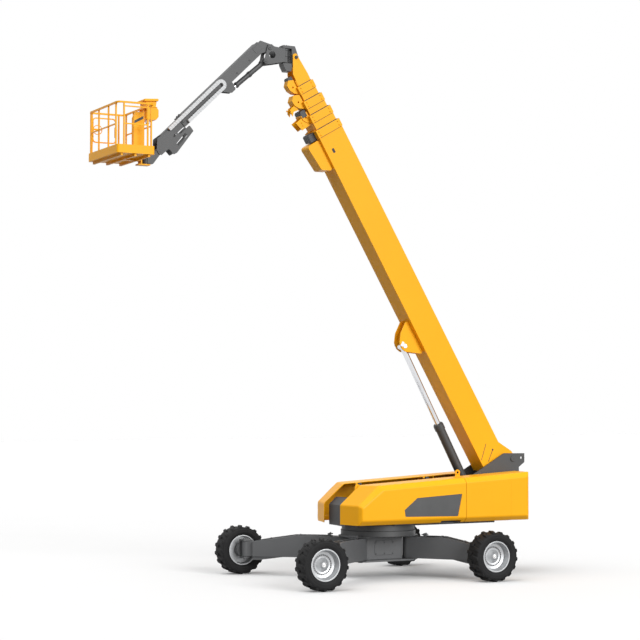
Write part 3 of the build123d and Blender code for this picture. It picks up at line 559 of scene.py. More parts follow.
plates = bmesh.new()
bolts = bmesh.new()
for side in (1, -1):
    lathe(plates, PIN_HEAD, (BOOM_PIN[0], side * CHEEK_OUT, BOOM_PIN[1]), (0, side, 0))
    at = Vector((LIFT_PIN[0] + LIFT_KEEPER_X, side * CHEEK_OUT, LIFT_PIN[1]))
    keeper(plates, bolts, at, side, LIFT_KEEPER_L, LIFT_KEEPER_TURN)
add_piece("pin_keepers", plates, "turntable", grey_paint, edge=0.002)
add_piece("keeper_bolts", bolts, "turntable", grey_paint)

# Hoods, rear covers and counterweight
# Moulded hoods and covers and a cast rear weight, all in the same glossy yellow two-pack paint.
# Each hood has a flat dark panel let into its side; a post behind the nose takes the left hood, and a
# lifting eye stands on the left rear cover.
YELLOW = (0.95, 0.435, 0.009)
PANEL_GREY = (0.053, 0.054, 0.055)
SOFT_FROM = math.radians(12.0)
SOFT_TO = math.radians(75.0)
SOFT_STEPS = 5
# Place of the soft rounding among a node's modifiers: after its weld and its flattening
SOFT_PLACE = 2
# Mouldings: node, radius of the blunt edges
MOULDINGS = [
    ("hood_left", 0.032),
    ("hood_right", 0.032),
    ("rear_cover_left", 0.030),
    ("rear_cover_right", 0.030),
    ("counterweight", 0.030),
]
yellow_paint = cloudy("yellow_paint", YELLOW, 0.025, 1.4, 0.38, 0.05, 0.007, 0.0015, shine=0.15)
panel_grey = cloudy("panel_grey", PANEL_GREY, 0.10, 0.3, 0.42, 0.05, 0.004, 0.001)


def soft_edges():
    """Marks the blunt edges of a moulding, which are rounded more than its square rims."""
    group, start, end = geometry_group("soft_edges")
    both = group.nodes.new("FunctionNodeBooleanMath")
    both.operation = "AND"
    mark = group.nodes.new("GeometryNodeStoreNamedAttribute")
    mark.data_type = "FLOAT"
    mark.domain = "EDGE"
    mark.inputs["Name"].default_value = "bevel_weight_edge"
    group.links.new(edge_test(group, "GREATER_THAN", SOFT_FROM), both.inputs[0])
    group.links.new(edge_test(group, "LESS_THAN", SOFT_TO), both.inputs[1])
    group.links.new(both.outputs[0], mark.inputs["Value"])
    group.links.new(start.outputs[0], mark.inputs["Geometry"])
    group.links.new(mark.outputs["Geometry"], end.inputs[0])
    return group


softness = soft_edges()
for name, blunt in MOULDINGS:
    piece = finish_node(name, yellow_paint, edge=0.004)
    piece.modifiers.new("mark", "NODES").node_group = softness
    piece.modifiers.move(len(piece.modifiers) - 1, SOFT_PLACE)
    bevel = piece.modifiers.new("soft", "BEVEL")
    bevel.width = blunt
    bevel.segments = SOFT_STEPS
    bevel.limit_method = "WEIGHT"
    bevel.use_clamp_overlap = False
    piece.modifiers.move(len(piece.modifiers) - 1, SOFT_PLACE + 1)

HOOD_Z0 = 1.290
HOOD_OUT = 1.120
PANEL_DEPTH = 0.008
PANEL_EDGE = 0.006
PANEL_ROUND = 0.020
PANEL_SUNK = 0.001
PANEL_T = 0.005
# Panel's recess: distance along the machine, height above the hood's foot
PANEL = [(-1.585, 0.335), (-1.930, 0.605), (-3.156, 0.672), (-3.036, 0.141), (-1.611, 0.170)]


def inset(points, by):
    """The outline moved inwards by the same amount all round."""
    middle = Vector((sum(p[0] for p in points), sum(p[1] for p in points))) / len(points)
    lines = []
    for i, p in enumerate(points):
        a = Vector(p)
        run = (Vector(points[(i + 1) % len(points)]) - a).normalized()
        inward = Vector((-run.y, run.x))
        if inward.dot(middle - a) < 0:
            inward = -inward
        lines.append((a + by * inward, run))
    corners = []
    for i in range(len(lines)):
        a, u = lines[i - 1]
        b, v = lines[i]
        share = ((b - a).x * v.y - (b - a).y * v.x) / (u.x * v.y - u.y * v.x)
        corners.append(a + share * u)
    return corners


def rounded(points, radius, steps=6):
    """The outline with an arc of that radius at each corner."""
    soft = []
    count = len(points)
    for i in range(count):
        p = Vector(points[i])
        to_last = (Vector(points[i - 1]) - p).normalized()
        to_next = (Vector(points[(i + 1) % count]) - p).normalized()
        half = to_last.angle(to_next) / 2
        centre = p + (to_last + to_next).normalized() * radius / math.sin(half)
        start = p + to_last * radius / math.tan(half) - centre
        end = p + to_next * radius / math.tan(half) - centre
        for k in range(steps + 1):
            soft.append(centre + radius * start.lerp(end, k / steps).normalized())
    return soft


outline = rounded(inset(PANEL, PANEL_EDGE), PANEL_ROUND)
for name, side in [("left", 1), ("right", -1)]:
    bm = bmesh.new()
    y = side * (HOOD_OUT - PANEL_DEPTH - PANEL_SUNK)
    slab(bm, [(p.x, y, HOOD_Z0 + p.y) for p in outline], (0, side * PANEL_T, 0))
    add_piece("hood_panel_" + name, bm, "hood_" + name, panel_grey, edge=0.0015)

POST_X = (-0.815, -0.695)
POST_Y = (0.330, 0.368)
POST_Z = (1.700, 2.195)
POST_CUT_X = 0.03
POST_CUT_Z = 0.07
x0, x1 = POST_X
z0, z1 = POST_Z
post = [(x0, z0), (x1, z0), (x1, z1 - POST_CUT_Z), (x1 - POST_CUT_X, z1), (x0, z1)]
bm = bmesh.new()
slab(bm, [(x, POST_Y[0], z) for x, z in post], (0, POST_Y[1] - POST_Y[0], 0))
add_piece("hood_rest", bm, "turntable", yellow_paint, edge=0.008)

EYE_AT = (-3.445, 2.425)
EYE_Y = 0.424
EYE_T = 0.022
EYE_IN = 0.030
EYE_OUT = 0.068
TAB_FOOT_Z = 2.310
# Tab below the eye: distance from its middle, height
TAB = [(0.07, TAB_FOOT_Z), (0.058, 2.40), (0.0, 2.365), (-0.058, 2.40), (-0.07, TAB_FOOT_Z)]
bm = bmesh.new()
slab(bm, [(EYE_AT[0] + dx, EYE_Y, z) for dx, z in TAB], (0, EYE_T, 0))
eye_ring = [(EYE_IN, 0.0), (EYE_OUT, 0.0), (EYE_OUT, EYE_T), (EYE_IN, EYE_T)]
lathe(bm, eye_ring, (EYE_AT[0], EYE_Y, EYE_AT[1]), (0, 1, 0))
add_piece("lifting_eye", bm, "turntable", yellow_paint, edge=0.004)

# Engine and tank
# A cast iron engine on the left tray and a pressed steel tank on the right tray, below the hoods.
# Both are painted dark and seen only from below or with a hood up.
ENGINE_DARK = (0.035, 0.036, 0.038)
engine_dark = cloudy("engine_dark", ENGINE_DARK, 0.2, 0.15, 0.55, 0.1, 0.003, 0.002)
for name in ("engine", "tank"):
    finish_node(name, engine_dark, edge=0.012)

# Boom sections
# Five box tubes of folded and welded plate, one inside the other, each with a thick collar at its mouth.
# Yellow paint throughout; the collars carry adjusting screws and slide pads, with black rubber wipers
# in the mouths that also paint the shadow line there, and a black strip of painted shadow behind each
# collar; steel blocks and brackets for the hoses are bolted on below.
DARK_STEEL = (0.030, 0.030, 0.031)
BOOM_TILT = math.radians(59.9)
boom_run = Vector((math.cos(BOOM_TILT), 0, math.sin(BOOM_TILT)))
boom_up = Vector((-math.sin(BOOM_TILT), 0, math.cos(BOOM_TILT)))
# Section: node, body, top, bottom, half width, front end
SECTIONS = [
    ("boom_base", "boom", -0.104, -0.783, 0.270, 9.330),
    ("boom_section_2", "section_2", -0.140, -0.735, 0.232, 9.700),
    ("boom_section_3", "section_3", -0.176, -0.690, 0.196, 10.050),
    ("boom_section_4", "section_4", -0.212, -0.646, 0.160, 10.410),
    ("boom_section_5", "section_5", -0.248, -0.604, 0.126, 10.560),
]
BASE_HALF = SECTIONS[0][4]
COLLAR_L = 0.190
COLLAR_T = 0.014
COLLAR_SCREW = 0.026
SCREW_BACK = (0.05, 0.14)
SCREW_IN = 0.06
TOP_SCREW_AT = 0.6
PAD_IN = 0.10
PAD_HALF = 0.06
PAD_T = 0.012
PAD_GAP = 0.003
PAD_LAP = 0.004
PAD_FROM = 0.30
PAD_TO = 0.80
WIPER_T = 0.015
WIPER_END = 0.03
WIPER_SUNK = 0.001
SHADOW_LINE_W = 0.010
SHADOW_LINE_T = 0.004


def on_boom(along, y, up):
    """A point by its distance along the boom from the foot pin, sideways, and square to the boom."""
    return Vector((BOOM_PIN[0], y, BOOM_PIN[1])) + along * boom_run + up * boom_up


def oblong(a0, a1, b0, b1):
    """Corners of an oblong between two places each way."""
    return [(a0, b0), (a1, b0), (a1, b1), (a0, b1)]


for section in SECTIONS:
    finish_node(section[0], yellow_paint, edge=0.005)

for outer, inner in zip(SECTIONS, SECTIONS[1:]):
    node, body, top, low, half, front = outer
    inner_top, inner_low, inner_half = inner[2:5]
    screws = bmesh.new()
    pads = bmesh.new()
    wipers_and_shadow_lines = bmesh.new()
    for side in (1, -1):
        for back in SCREW_BACK:
            for up in (top - SCREW_IN, low + SCREW_IN):
                at = on_boom(front - back, side * (half + COLLAR_T), up)
                hex_bolts(screws, [at], (0, side, 0), COLLAR_SCREW)
        for back in SCREW_BACK:
            at = on_boom(front - back, side * TOP_SCREW_AT * half, top + COLLAR_T)
            hex_bolts(screws, [at], boom_up, COLLAR_SCREW)
        for up in (inner_top - PAD_IN, inner_low + PAD_IN):
            pad = oblong(side * (inner_half + PAD_GAP), side * (half + PAD_LAP), up - PAD_HALF, up + PAD_HALF)
            slab(pads, [on_boom(front - SUNK, y, h) for y, h in pad], PAD_T * boom_run)
        for up0, up1 in [(inner_top + PAD_GAP, top + PAD_LAP), (inner_low - PAD_GAP, low - PAD_LAP)]:
            pad = oblong(side * PAD_FROM * inner_half, side * PAD_TO * inner_half, up0, up1)
            slab(pads, [on_boom(front - SUNK, y, h) for y, h in pad], PAD_T * boom_run)
        # Black rubber wiper lip in the mouth, which also paints the shadow line there
        rim = half + COLLAR_T - WIPER_SUNK
        lip = [
            (inner_half + SUNK, inner_low + WIPER_END), (rim, low + WIPER_END), (rim, top - WIPER_END),
            (inner_half + SUNK, inner_top - WIPER_END),
        ]
        slab(wipers_and_shadow_lines, [on_boom(front - WIPER_SUNK, side * y, up) for y, up in lip], WIPER_T * boom_run)
        # Black strip at the collar's back edge: painted shadow of the collar's step
        collar_end = front - COLLAR_L
        shadow_line = oblong(collar_end - SHADOW_LINE_W, collar_end + SUNK, low + WIPER_END, top - WIPER_END)
        slab(wipers_and_shadow_lines, [on_boom(s, side * (half - WIPER_SUNK), h) for s, h in shadow_line], (0, side * SHADOW_LINE_T, 0))
    add_piece("collar_screws_" + node, screws, body, yellow_paint)
    add_piece("slide_pads_" + node, pads, body, yellow_paint, edge=0.002)
    add_piece("wipers_" + node, wipers_and_shadow_lines, body, black_rubber_and_shade)

# Narrow slots by the boom's foot: their two ends, along and across the boom
SLOTS = [((0.682, -0.435), (0.404, -0.750)), ((0.476, -0.325), (0.274, -0.592))]
SLOT_HALF = 0.0075
SLOT_SUNK = 0.005
SLOT_T = 0.002
DOT_AT = (0.462, -0.344)
DOT_STEPS = 24
WINDOW = oblong(8.672, 8.785, -0.628, -0.566)
WINDOW_ROUND = 0.012
WINDOW_T = 0.005
# Black strips in the slots, a black dot on the hole at one slot's top and a black window: painted shade of
# these openings
bm = bmesh.new()
for side in (1, -1):
    y = side * (BASE_HALF - SLOT_SUNK)
    for first, last in SLOTS:
        p = Vector(first)
        q = Vector(last)
        run = (q - p).normalized() * SLOT_HALF
        beside = Vector((-run.y, run.x))
        ends = [p + beside, q + beside, q - beside, p - beside]
        slab(bm, [on_boom(e.x, y, e.y) for e in ends], (0, side * SLOT_T, 0))
    dot = button(radius=0.024, foot=0, top=0.009, slope=0.004, drop=0.002)
    lathe(bm, dot, on_boom(DOT_AT[0], y, DOT_AT[1]), (0, side, 0), DOT_STEPS)
    y = side * (BASE_HALF - SUNK)
    window = rounded(WINDOW, WINDOW_ROUND, 4)
    slab(bm, [on_boom(p.x, y, p.y) for p in window], (0, side * WINDOW_T, 0))
add_piece("boom_slot_shade", bm, "boom", black_rubber_and_shade)

# Hose blocks: name, body, from, to along the boom, upper, lower edge, half width
HOSE_BLOCKS = [
    ("hose_block_1", "boom", 9.125, 9.315, -0.790, -0.965, 0.150),
    ("hose_block_2", "section_2", 9.720, 9.888, -0.745, -0.885, 0.152),
    ("hose_block_3", "section_4", 10.590, 10.700, -0.632, -0.760, 0.095),
]
BLOCKS = 4
BLOCK_SHARE = 0.88
BLOCK_CUT = 0.03
BAR_IN = 0.01
BAR_T = 0.03
dark_steel = cloudy("dark_steel", DARK_STEEL, 0.15, 0.1, 0.5, 0.08, 0.004, 0.001)
for name, body, s0, s1, h0, h1, half in HOSE_BLOCKS:
    pitch = 2 * half / BLOCKS
    block = [(s0, h0), (s1, h0), (s1, h1 + BLOCK_CUT), (s1 - BLOCK_CUT, h1), (s0, h1)]
    bm = bmesh.new()
    for k in range(BLOCKS):
        y = -half + (k + (1 - BLOCK_SHARE) / 2) * pitch
        slab(bm, [on_boom(s, y, h) for s, h in block], (0, BLOCK_SHARE * pitch, 0))
    bar = oblong(s0 + BAR_IN, s1 - BAR_IN, h0, h0 - BAR_T)
    slab(bm, [on_boom(s, -half, h) for s, h in bar], (0, 2 * half, 0))
    add_piece(name, bm, body, dark_steel, edge=0.004)

# Guide brackets: name, body, half spacing, outline along and across the boom
GUIDE_BRACKETS = [
    ("guide_bracket_2", "section_2", 0.105, [
        (9.500, -0.760), (9.690, -0.800), (9.735, -0.900), (9.700, -1.085), (9.480, -1.020),
    ]),
    ("guide_bracket_3", "section_3", 0.070, [
        (9.930, -0.850), (10.070, -0.880), (10.055, -1.000), (9.960, -1.075), (9.870, -1.060),
        (9.950, -0.985),
    ]),
]
BRACKET_T = 0.018
BRACKET_BOLT = 0.022
BRACKET_BOLT_DOWN = 0.05
BRACKET_BOLTS_BACK = (0.05, 0.12)
for name, body, apart, outline in GUIDE_BRACKETS:
    front = outline[1][0]
    level = outline[2][1] - BRACKET_BOLT_DOWN
    bm = bmesh.new()
    for side in (1, -1):
        slab(bm, [on_boom(s, side * apart, h) for s, h in outline], (0, side * BRACKET_T, 0))
        places = [on_boom(front - back, side * (apart + BRACKET_T), level) for back in BRACKET_BOLTS_BACK]
        hex_bolts(bm, places, (0, side, 0), BRACKET_BOLT)
    add_piece(name, bm, body, yellow_paint, edge=0.003)

# Lift cylinder
# A honed steel barrel painted grey with a screwed gland, and a hard chromed rod.
# The rod's eye hangs in the fork under the boom on a zinc-plated pin with a bolted keeper at each end.
CHROME = (0.74, 0.75, 0.77)
ZINC = (0.62, 0.63, 0.64)
LIFT_EYE = (3.810, -1.150)
LIFT_BARREL_L = 2.100
GLAND = [(0.069, -0.004), (0.118, -0.004), (0.118, 0.022), (0.108, 0.030), (0.076, 0.034), (0.069, 0.030)]
GLAND_FACE = 0.026
GLAND_SCREWS = 10
GLAND_SCREW_R = 0.094
GLAND_SCREW = 0.018
FORK_OUT = 0.140
FORK_KEEPER_X = 0.075
FORK_KEEPER_Z = 0.045
FORK_KEEPER_L = 0.12
FORK_KEEPER_TURN = 2.1
chrome = cloudy("chrome", CHROME, 0.04, 0.4, 0.10, 0.03, 0.0012, 0.0002, metal=1.0)
zinc = cloudy("zinc", ZINC, 0.10, 0.03, 0.34, 0.08, 0.002, 0.0005, metal=1.0)
finish_node("lift_barrel", grey_paint, edge=0.004)
finish_node("lift_rod", chrome, edge=0.004)
lift_eye = on_boom(LIFT_EYE[0], 0, LIFT_EYE[1])
lift_foot = Vector((LIFT_PIN[0], 0, LIFT_PIN[1]))
lift_run = (lift_eye - lift_foot).normalized()
bm = bmesh.new()
lathe(bm, GLAND, lift_foot + LIFT_BARREL_L * lift_run, lift_run)
gland_face = lift_foot + (LIFT_BARREL_L + GLAND_FACE) * lift_run
hex_bolts(bm, circle(gland_face, lift_run, GLAND_SCREW_R, GLAND_SCREWS), lift_run, GLAND_SCREW)
add_piece("lift_gland", bm, "lift_barrel", grey_paint)
plates = bmesh.new()
bolts = bmesh.new()
for side in (1, -1):
    pin_end = button(radius=0.055, foot=-SUNK, top=0.017, slope=0.005, drop=0.005)
    lathe(plates, pin_end, (lift_eye.x, side * FORK_OUT, lift_eye.z), (0, side, 0))
    at = Vector((lift_eye.x + FORK_KEEPER_X, side * FORK_OUT, lift_eye.z + FORK_KEEPER_Z))
    keeper(plates, bolts, at, side, FORK_KEEPER_L, FORK_KEEPER_TURN)
add_piece("fork_pin_ends", plates, "boom", zinc, edge=0.002)
add_piece("fork_pin_bolts", bolts, "boom", zinc)

# Tip knuckle and swing bracket
# Welded plate and castings in grey: the knuckle levels the jib mount on the tip pin, and the bracket
# turns about the knuckle's upright actuator, whose lid is held by a ring of bolts.
TIP_PIN = on_boom(11.032, 0, -0.323)
TIP_OUT = 0.170
TIP_BOLT = 0.030
SWING_X = TIP_PIN.x + 0.220
SWING_Z0 = TIP_PIN.z - 0.142
SWING_Z1 = TIP_PIN.z + 0.188
LID_AT = (SWING_X - 0.01, 0, SWING_Z1 + 0.075)
LID_BOLTS = 8
LID_BOLT_R = 0.068
LID_BOLT = 0.022
HUB_R = 0.092
HUB_SUNK = 0.004
HUB_OUT = 0.014
# Rings round the swing hub: lower and upper height
HUB_RINGS = [
    (SWING_Z0 + 0.004, SWING_Z0 + 0.034),
    (SWING_Z0 + 0.15, SWING_Z0 + 0.165),
    (SWING_Z1 - 0.034, SWING_Z1 - 0.004),
]
for name in ("tip_knuckle", "swing_bracket"):
    finish_node(name, grey_paint, edge=0.005)
bm = bmesh.new()
hex_bolts(bm, circle(LID_AT, (0, 0, 1), LID_BOLT_R, LID_BOLTS), (0, 0, 1), LID_BOLT)
add_piece("knuckle_bolts", bm, "tip_knuckle", grey_paint)
bm = bmesh.new()
for side in (1, -1):
    at = (TIP_PIN.x, side * TIP_OUT, TIP_PIN.z)
    cap = button(radius=0.040, foot=-0.022, top=0.0, slope=0.006, drop=0.006)
    lathe(bm, cap, at, (0, side, 0))
    hex_bolts(bm, [at], (0, side, 0), TIP_BOLT)
add_piece("tip_pin_caps", bm, "tip_knuckle", grey_paint)
bm = bmesh.new()
for z0, z1 in HUB_RINGS:
    lathe(bm, oblong(HUB_R - HUB_SUNK, HUB_R + HUB_OUT, z0, z1), (SWING_X, 0, 0), (0, 0, 1))
add_piece("swing_hub_rings", bm, "swing_bracket", grey_paint, edge=0.003)

# Jib
# Two sliding box tubes with welded ear and head plates, in grey, raised by a small cylinder below.
# A galvanised steel cable carrier of pinned links lies in a long loop on the left side, round a guide bar.
GALVANISED = (0.56, 0.57, 0.58)
JIB_PIN = Vector((SWING_X + 0.452, 0, SWING_Z1 - 0.022))
JIB_TILT = math.radians(-44.0)
JIB_HALF = 0.110
jib_run = Vector((math.cos(JIB_TILT), 0, math.sin(JIB_TILT)))
jib_up = Vector((-math.sin(JIB_TILT), 0, math.cos(JIB_TILT)))
galvanised = cloudy("galvanised", GALVANISED, 0.05, 0.20, 0.46, 0.06, 0.004, 0.0006)
for name in ("jib_outer", "jib_inner", "jib_head", "jib_barrel"):
    finish_node(name, grey_paint, edge=0.004)
finish_node("jib_rod", chrome, edge=0.003)


def on_jib(along, y, up):
    """A point by its distance along the jib from its pin, sideways, and square to the jib."""
    return Vector((JIB_PIN.x, y, JIB_PIN.z)) + along * jib_run + up * jib_up


# Welded patch, plugs and hose cleats of the outer jib, along and across it
PATCH = [(0.150, 0.100), (0.355, 0.110), (0.355, 0.255), (0.150, 0.240)]
PATCH_ROUND = 0.020
PATCH_SUNK = 0.001
PATCH_T = 0.006
PLUGS = [(0.596, 0.110), (1.041, 0.101)]
PLUG_STEPS = 24
CLEAT = [(-0.03, 0.288), (0.02, 0.288), (0.02, 0.322), (-0.015, 0.332)]
CLEAT_Y = 0.02
# Cleats: place along the jib, width
CLEATS = [(2.790, 0.05), (2.850, 0.03)]
fittings = bmesh.new()
patches = bmesh.new()
for side in (1, -1):
    patch = rounded(PATCH, PATCH_ROUND, 4)
    slab(patches, [on_jib(p.x, side * (JIB_HALF - PATCH_SUNK), p.y) for p in patch], (0, side * PATCH_T, 0))
    for along, up in PLUGS:
        plug = button(radius=0.021, foot=-0.001, top=0.006, slope=0.004, drop=0.002)
        lathe(fittings, plug, on_jib(along, side * JIB_HALF, up), (0, side, 0), PLUG_STEPS)
for along, width in CLEATS:
    slab(fittings, [on_jib(along + s, CLEAT_Y, h) for s, h in CLEAT], (0, width, 0))
add_piece("jib_fittings", fittings, "jib", dark_steel, edge=0.002)
add_piece("jib_patches", patches, "jib", grey_paint, edge=0.002)

LINK_PITCH = 0.075
LINK_GAP = 0.002
LINK_WIDE = 0.066
LINK_ROUND = 0.008
LINK_PIN = button(radius=0.012, foot=-SUNK, top=0.004, slope=0.003, drop=0.002)
LINK_PIN_STEPS = 12
LOOP_S = 1.560
LOOP_M = 0.160
LOOP_IN = 0.0455
LOOP_OUT = 0.1245
# Runs of the carrier loop: side of its middle line, far end
LOOP_RUNS = [(1, 3.234), (-1, 2.749)]
BEND_LINKS = 5
BEND_GAP = 0.02
BEND_STEPS = 4
bm = bmesh.new()
for side, far in LOOP_RUNS:
    count = round((far - LOOP_S) / LINK_PITCH)
    pitch = (far - LOOP_S) / count
    m0 = LOOP_M + side * LOOP_IN
    m1 = LOOP_M + side * LOOP_OUT
    for k in range(count):
        s0 = LOOP_S + k * pitch + LINK_GAP / 2
        s1 = s0 + pitch - LINK_GAP
        link = rounded(oblong(s0, s1, m0, m1), LINK_ROUND, 3)
        slab(bm, [on_jib(p.x, JIB_HALF, p.y) for p in link], (0, LINK_WIDE, 0))
        pin_at = on_jib((s0 + s1) / 2, JIB_HALF + LINK_WIDE, (m0 + m1) / 2)
        lathe(bm, LINK_PIN, pin_at, (0, 1, 0), LINK_PIN_STEPS)
for k in range(BEND_LINKS):
    t0 = math.pi / 2 + math.pi * k / BEND_LINKS + BEND_GAP / 2
    t1 = t0 + math.pi / BEND_LINKS - BEND_GAP
    fan = [t0 + (t1 - t0) * i / BEND_STEPS for i in range(BEND_STEPS + 1)]
    link = [(LOOP_OUT, t) for t in fan] + [(LOOP_IN, t) for t in reversed(fan)]
    outline = [(LOOP_S + r * math.cos(t), LOOP_M + r * math.sin(t)) for r, t in link]
    slab(bm, [on_jib(s, JIB_HALF, m) for s, m in outline], (0, LINK_WIDE, 0))
carrier = add_piece("carrier_links", bm, "jib", galvanised, edge=0.002)
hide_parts("cable_carrier")

GUIDE_BAR = oblong(1.62, 2.86, 0.128, 0.192)
GUIDE_ROUND = 0.025
GUIDE_SUNK = 0.001
GUIDE_T = 0.022
bm = bmesh.new()
bar = rounded(GUIDE_BAR, GUIDE_ROUND, 4)
slab(bm, [on_jib(p.x, JIB_HALF - GUIDE_SUNK, p.y) for p in bar], (0, GUIDE_T, 0))
add_piece("carrier_guide", bm, "jib", dark_steel, edge=0.003)

JIB_CYL = JIB_PIN + Vector((0.104, 0, -0.333))
jib_eye = on_jib(1.370, 0, -0.100)
cyl_run = (jib_eye - JIB_CYL).normalized()
cyl_long = (jib_eye - JIB_CYL).length
COLLAR_IN = 0.050
COLLAR_R = 0.066
COLLAR_RISE = 0.003
COLLAR_SLOPE = 0.006
bm = bmesh.new()
for a0, a1 in [(0.44, 0.50), (cyl_long - 0.20, cyl_long - 0.151)]:
    collar = [
        (COLLAR_IN, a0), (COLLAR_R, a0), (COLLAR_R + COLLAR_RISE, a0 + COLLAR_SLOPE),
        (COLLAR_R + COLLAR_RISE, a1 - COLLAR_SLOPE), (COLLAR_R, a1), (COLLAR_IN, a1),
    ]
    lathe(bm, collar, JIB_CYL, cyl_run)
add_piece("jib_cylinder_collars", bm, "jib_barrel", dark_steel)

EAR_OUT = 0.160
EAR_BOLT = 0.024
PIN_CAP_OVER = 0.016
# Pins through the swing bracket: place, radius
JIB_PINS = [(JIB_PIN, 0.038), (JIB_CYL, 0.032)]
bm = bmesh.new()
for side in (1, -1):
    for pin, r in JIB_PINS:
        cap = button(radius=r + PIN_CAP_OVER, foot=-0.013, top=SUNK, slope=0.006, drop=0.005)
        lathe(bm, cap, (pin.x, side * EAR_OUT, pin.z), (0, side, 0))
        hex_bolts(bm, [(pin.x, side * (EAR_OUT + SUNK), pin.z)], (0, side, 0), EAR_BOLT)
add_piece("jib_pin_caps", bm, "swing_bracket", grey_paint)

# Platform arm
# A short arm of welded plate on the jib's level pin that carries the upright basket rotator.
# Sprayed in the same grey as the jib.
finish_node("platform_arm", grey_paint, edge=0.005)

# Basket
# A welded frame of square steel tube on a folded floor pan with toe boards, all yellow.
# The gate is a bent bar on a sprung hinge post; the console and the locker are folded boxes, and the
# console has a lid of its own.
BLACK = (0.006, 0.006, 0.006)
PALE = (0.55, 0.56, 0.57)
LOCKER_FACE = 0.640
LOCKER_SLOT = [(4.925, 10.196), (4.925, 10.258), (4.712, 10.374), (4.712, 10.312)]
LOCKER_SLOT_SUNK = 0.001
LOCKER_SLOT_T = 0.004
for name in ("basket_floor", "guard_rails", "gate", "console", "locker"):
    finish_node(name, yellow_paint, edge=0.003)
black = cloudy("black_plastic_and_slot_shade", BLACK, 0.2, 0.05, 0.5, 0.06, 0.003, 0.0006)
pale = cloudy("pale_plastic", PALE, 0.06, 0.05, 0.4, 0.05, 0.003, 0.0006)
# A black sheet on the locker's face: painted shade of the inside of its slot
bm = bmesh.new()
slab(bm, [(x, LOCKER_FACE - LOCKER_SLOT_SUNK, z) for x, z in LOCKER_SLOT], (0, LOCKER_SLOT_T, 0))
add_piece("locker_slot", bm, "basket", black, edge=0.001)

BEEPER_X = 4.500
BEEPER_Y = 0.350
BEEPER_STEPS = 32
BEEPER = [
    (0, 0.002), (0.030, 0.002), (0.030, -0.030), (0.044, -0.042), (0.044, -0.080), (0.030, -0.100),
    (0, -0.106),
]
con_low, con_high = box_corners("console")
bm = bmesh.new()
lathe(bm, BEEPER, (BEEPER_X, BEEPER_Y, con_low.z), (0, 0, 1), BEEPER_STEPS)
add_piece("console_beeper", bm, "basket", pale)

LID_X = (4.262, 4.595)
LID_Y = (-0.030, 0.410)
LID_Z = 10.745
LID_RISE = 0.022
LID_T = 0.055
LID_ROUND = 0.015
NECK_IN = 0.04
NECK_SUNK = 0.01
lid_wide = LID_Y[1] - LID_Y[0]
neck = [
    (con_low.x + 0.05, con_high.z - NECK_SUNK), (con_high.x - 0.02, con_high.z - NECK_SUNK),
    (con_high.x - 0.01, LID_Z + 0.01), (con_low.x + 0.03, LID_Z + 0.03),
]
lid = [
    (LID_X[0], LID_Z + LID_RISE), (LID_X[1], LID_Z), (LID_X[1], LID_Z + LID_T),
    (LID_X[0], LID_Z + LID_RISE + LID_T),
]
bm = bmesh.new()
slab(bm, [(x, LID_Y[0] + NECK_IN, z) for x, z in neck], (0, lid_wide - 2 * NECK_IN, 0))
slab(bm, [(p.x, LID_Y[0], p.y) for p in rounded(lid, LID_ROUND, 4)], (0, lid_wide, 0))
add_piece("console_lid", bm, "basket", yellow_paint, edge=0.008)

RAIL_IN = 0.007
TREAD_PITCH = 0.066
TREAD_MARGIN = 0.05
TREAD_HALF_L = 0.022
TREAD_HALF_W = 0.008
TREAD_SUNK = 0.0005
TREAD_T = 0.0025
TREAD_DEG = 45
DIAMOND = [(-1, 0), (0, -1), (1, 0), (0, 1)]
rail_low, rail_high = box_corners("guard_rails")
in_x = rail_low.x - RAIL_IN
out_x = rail_high.x + RAIL_IN
basket_half = rail_high.y + RAIL_IN
rows = int((out_x - in_x - 2 * TREAD_MARGIN) / TREAD_PITCH)
files = int((2 * basket_half - 2 * TREAD_MARGIN) / TREAD_PITCH)
bm = bmesh.new()
for i in range(rows + 1):
    for k in range(files + 1):
        x = in_x + TREAD_MARGIN + i * TREAD_PITCH
        y = -basket_half + TREAD_MARGIN + k * TREAD_PITCH
        turn = math.radians(TREAD_DEG if (i + k) % 2 else -TREAD_DEG)
        run = TREAD_HALF_L * Vector((math.cos(turn), math.sin(turn), 0))
        across = TREAD_HALF_W * Vector((-math.sin(turn), math.cos(turn), 0))
        middle = Vector((x, y, rail_low.z - TREAD_SUNK))
        slab(bm, [middle + a * run + b * across for a, b in DIAMOND], (0, 0, TREAD_T))
add_piece("floor_tread", bm, "basket", yellow_paint)

GRIP = [(0.010, 10.100), (0.027, 10.100), (0.030, 10.115), (0.030, 10.285), (0.027, 10.300), (0.010, 10.300)]
GRIP_IN = 0.013
GRIP_RINGS_Z = (10.085, 10.300)
GRIP_RING_IN = 0.010
GRIP_RING_OUT = 0.026
GRIP_RING_H = 0.015
HINGE_IN = 0.015
COLLARS_Z = (10.070, 10.200, 10.375)
HINGE_R = 0.012
HINGE_COLLAR_R = 0.021
HINGE_COLLAR_H = 0.030
GATE_STEPS = 24
CLOSER_X = 5.118
CLOSER_HALF = 0.010
HOOP_AT = Vector((5.208, 0, 10.236))
HOOP_R = 0.104
HOOP_TUBE = 0.009
gate_low, gate_high = box_corners("gate")
grip_at = Vector((gate_low.x + GRIP_IN, (gate_low.y + gate_high.y) / 2, 0))
hinge_at = Vector((gate_high.x - HINGE_IN, grip_at.y, 0))
grip = bmesh.new()
ends = bmesh.new()
lathe(grip, GRIP, grip_at, (0, 0, 1), GATE_STEPS)
for z in GRIP_RINGS_Z:
    lathe(ends, oblong(GRIP_RING_IN, GRIP_RING_OUT, z, z + GRIP_RING_H), grip_at, (0, 0, 1), GATE_STEPS)
for z in COLLARS_Z:
    lathe(ends, oblong(HINGE_R, HINGE_COLLAR_R, z, z + HINGE_COLLAR_H), hinge_at, (0, 0, 1), GATE_STEPS)
closer = [(CLOSER_X, 10.226), (hinge_at.x, 10.222), (hinge_at.x, 10.264), (CLOSER_X, 10.256)]
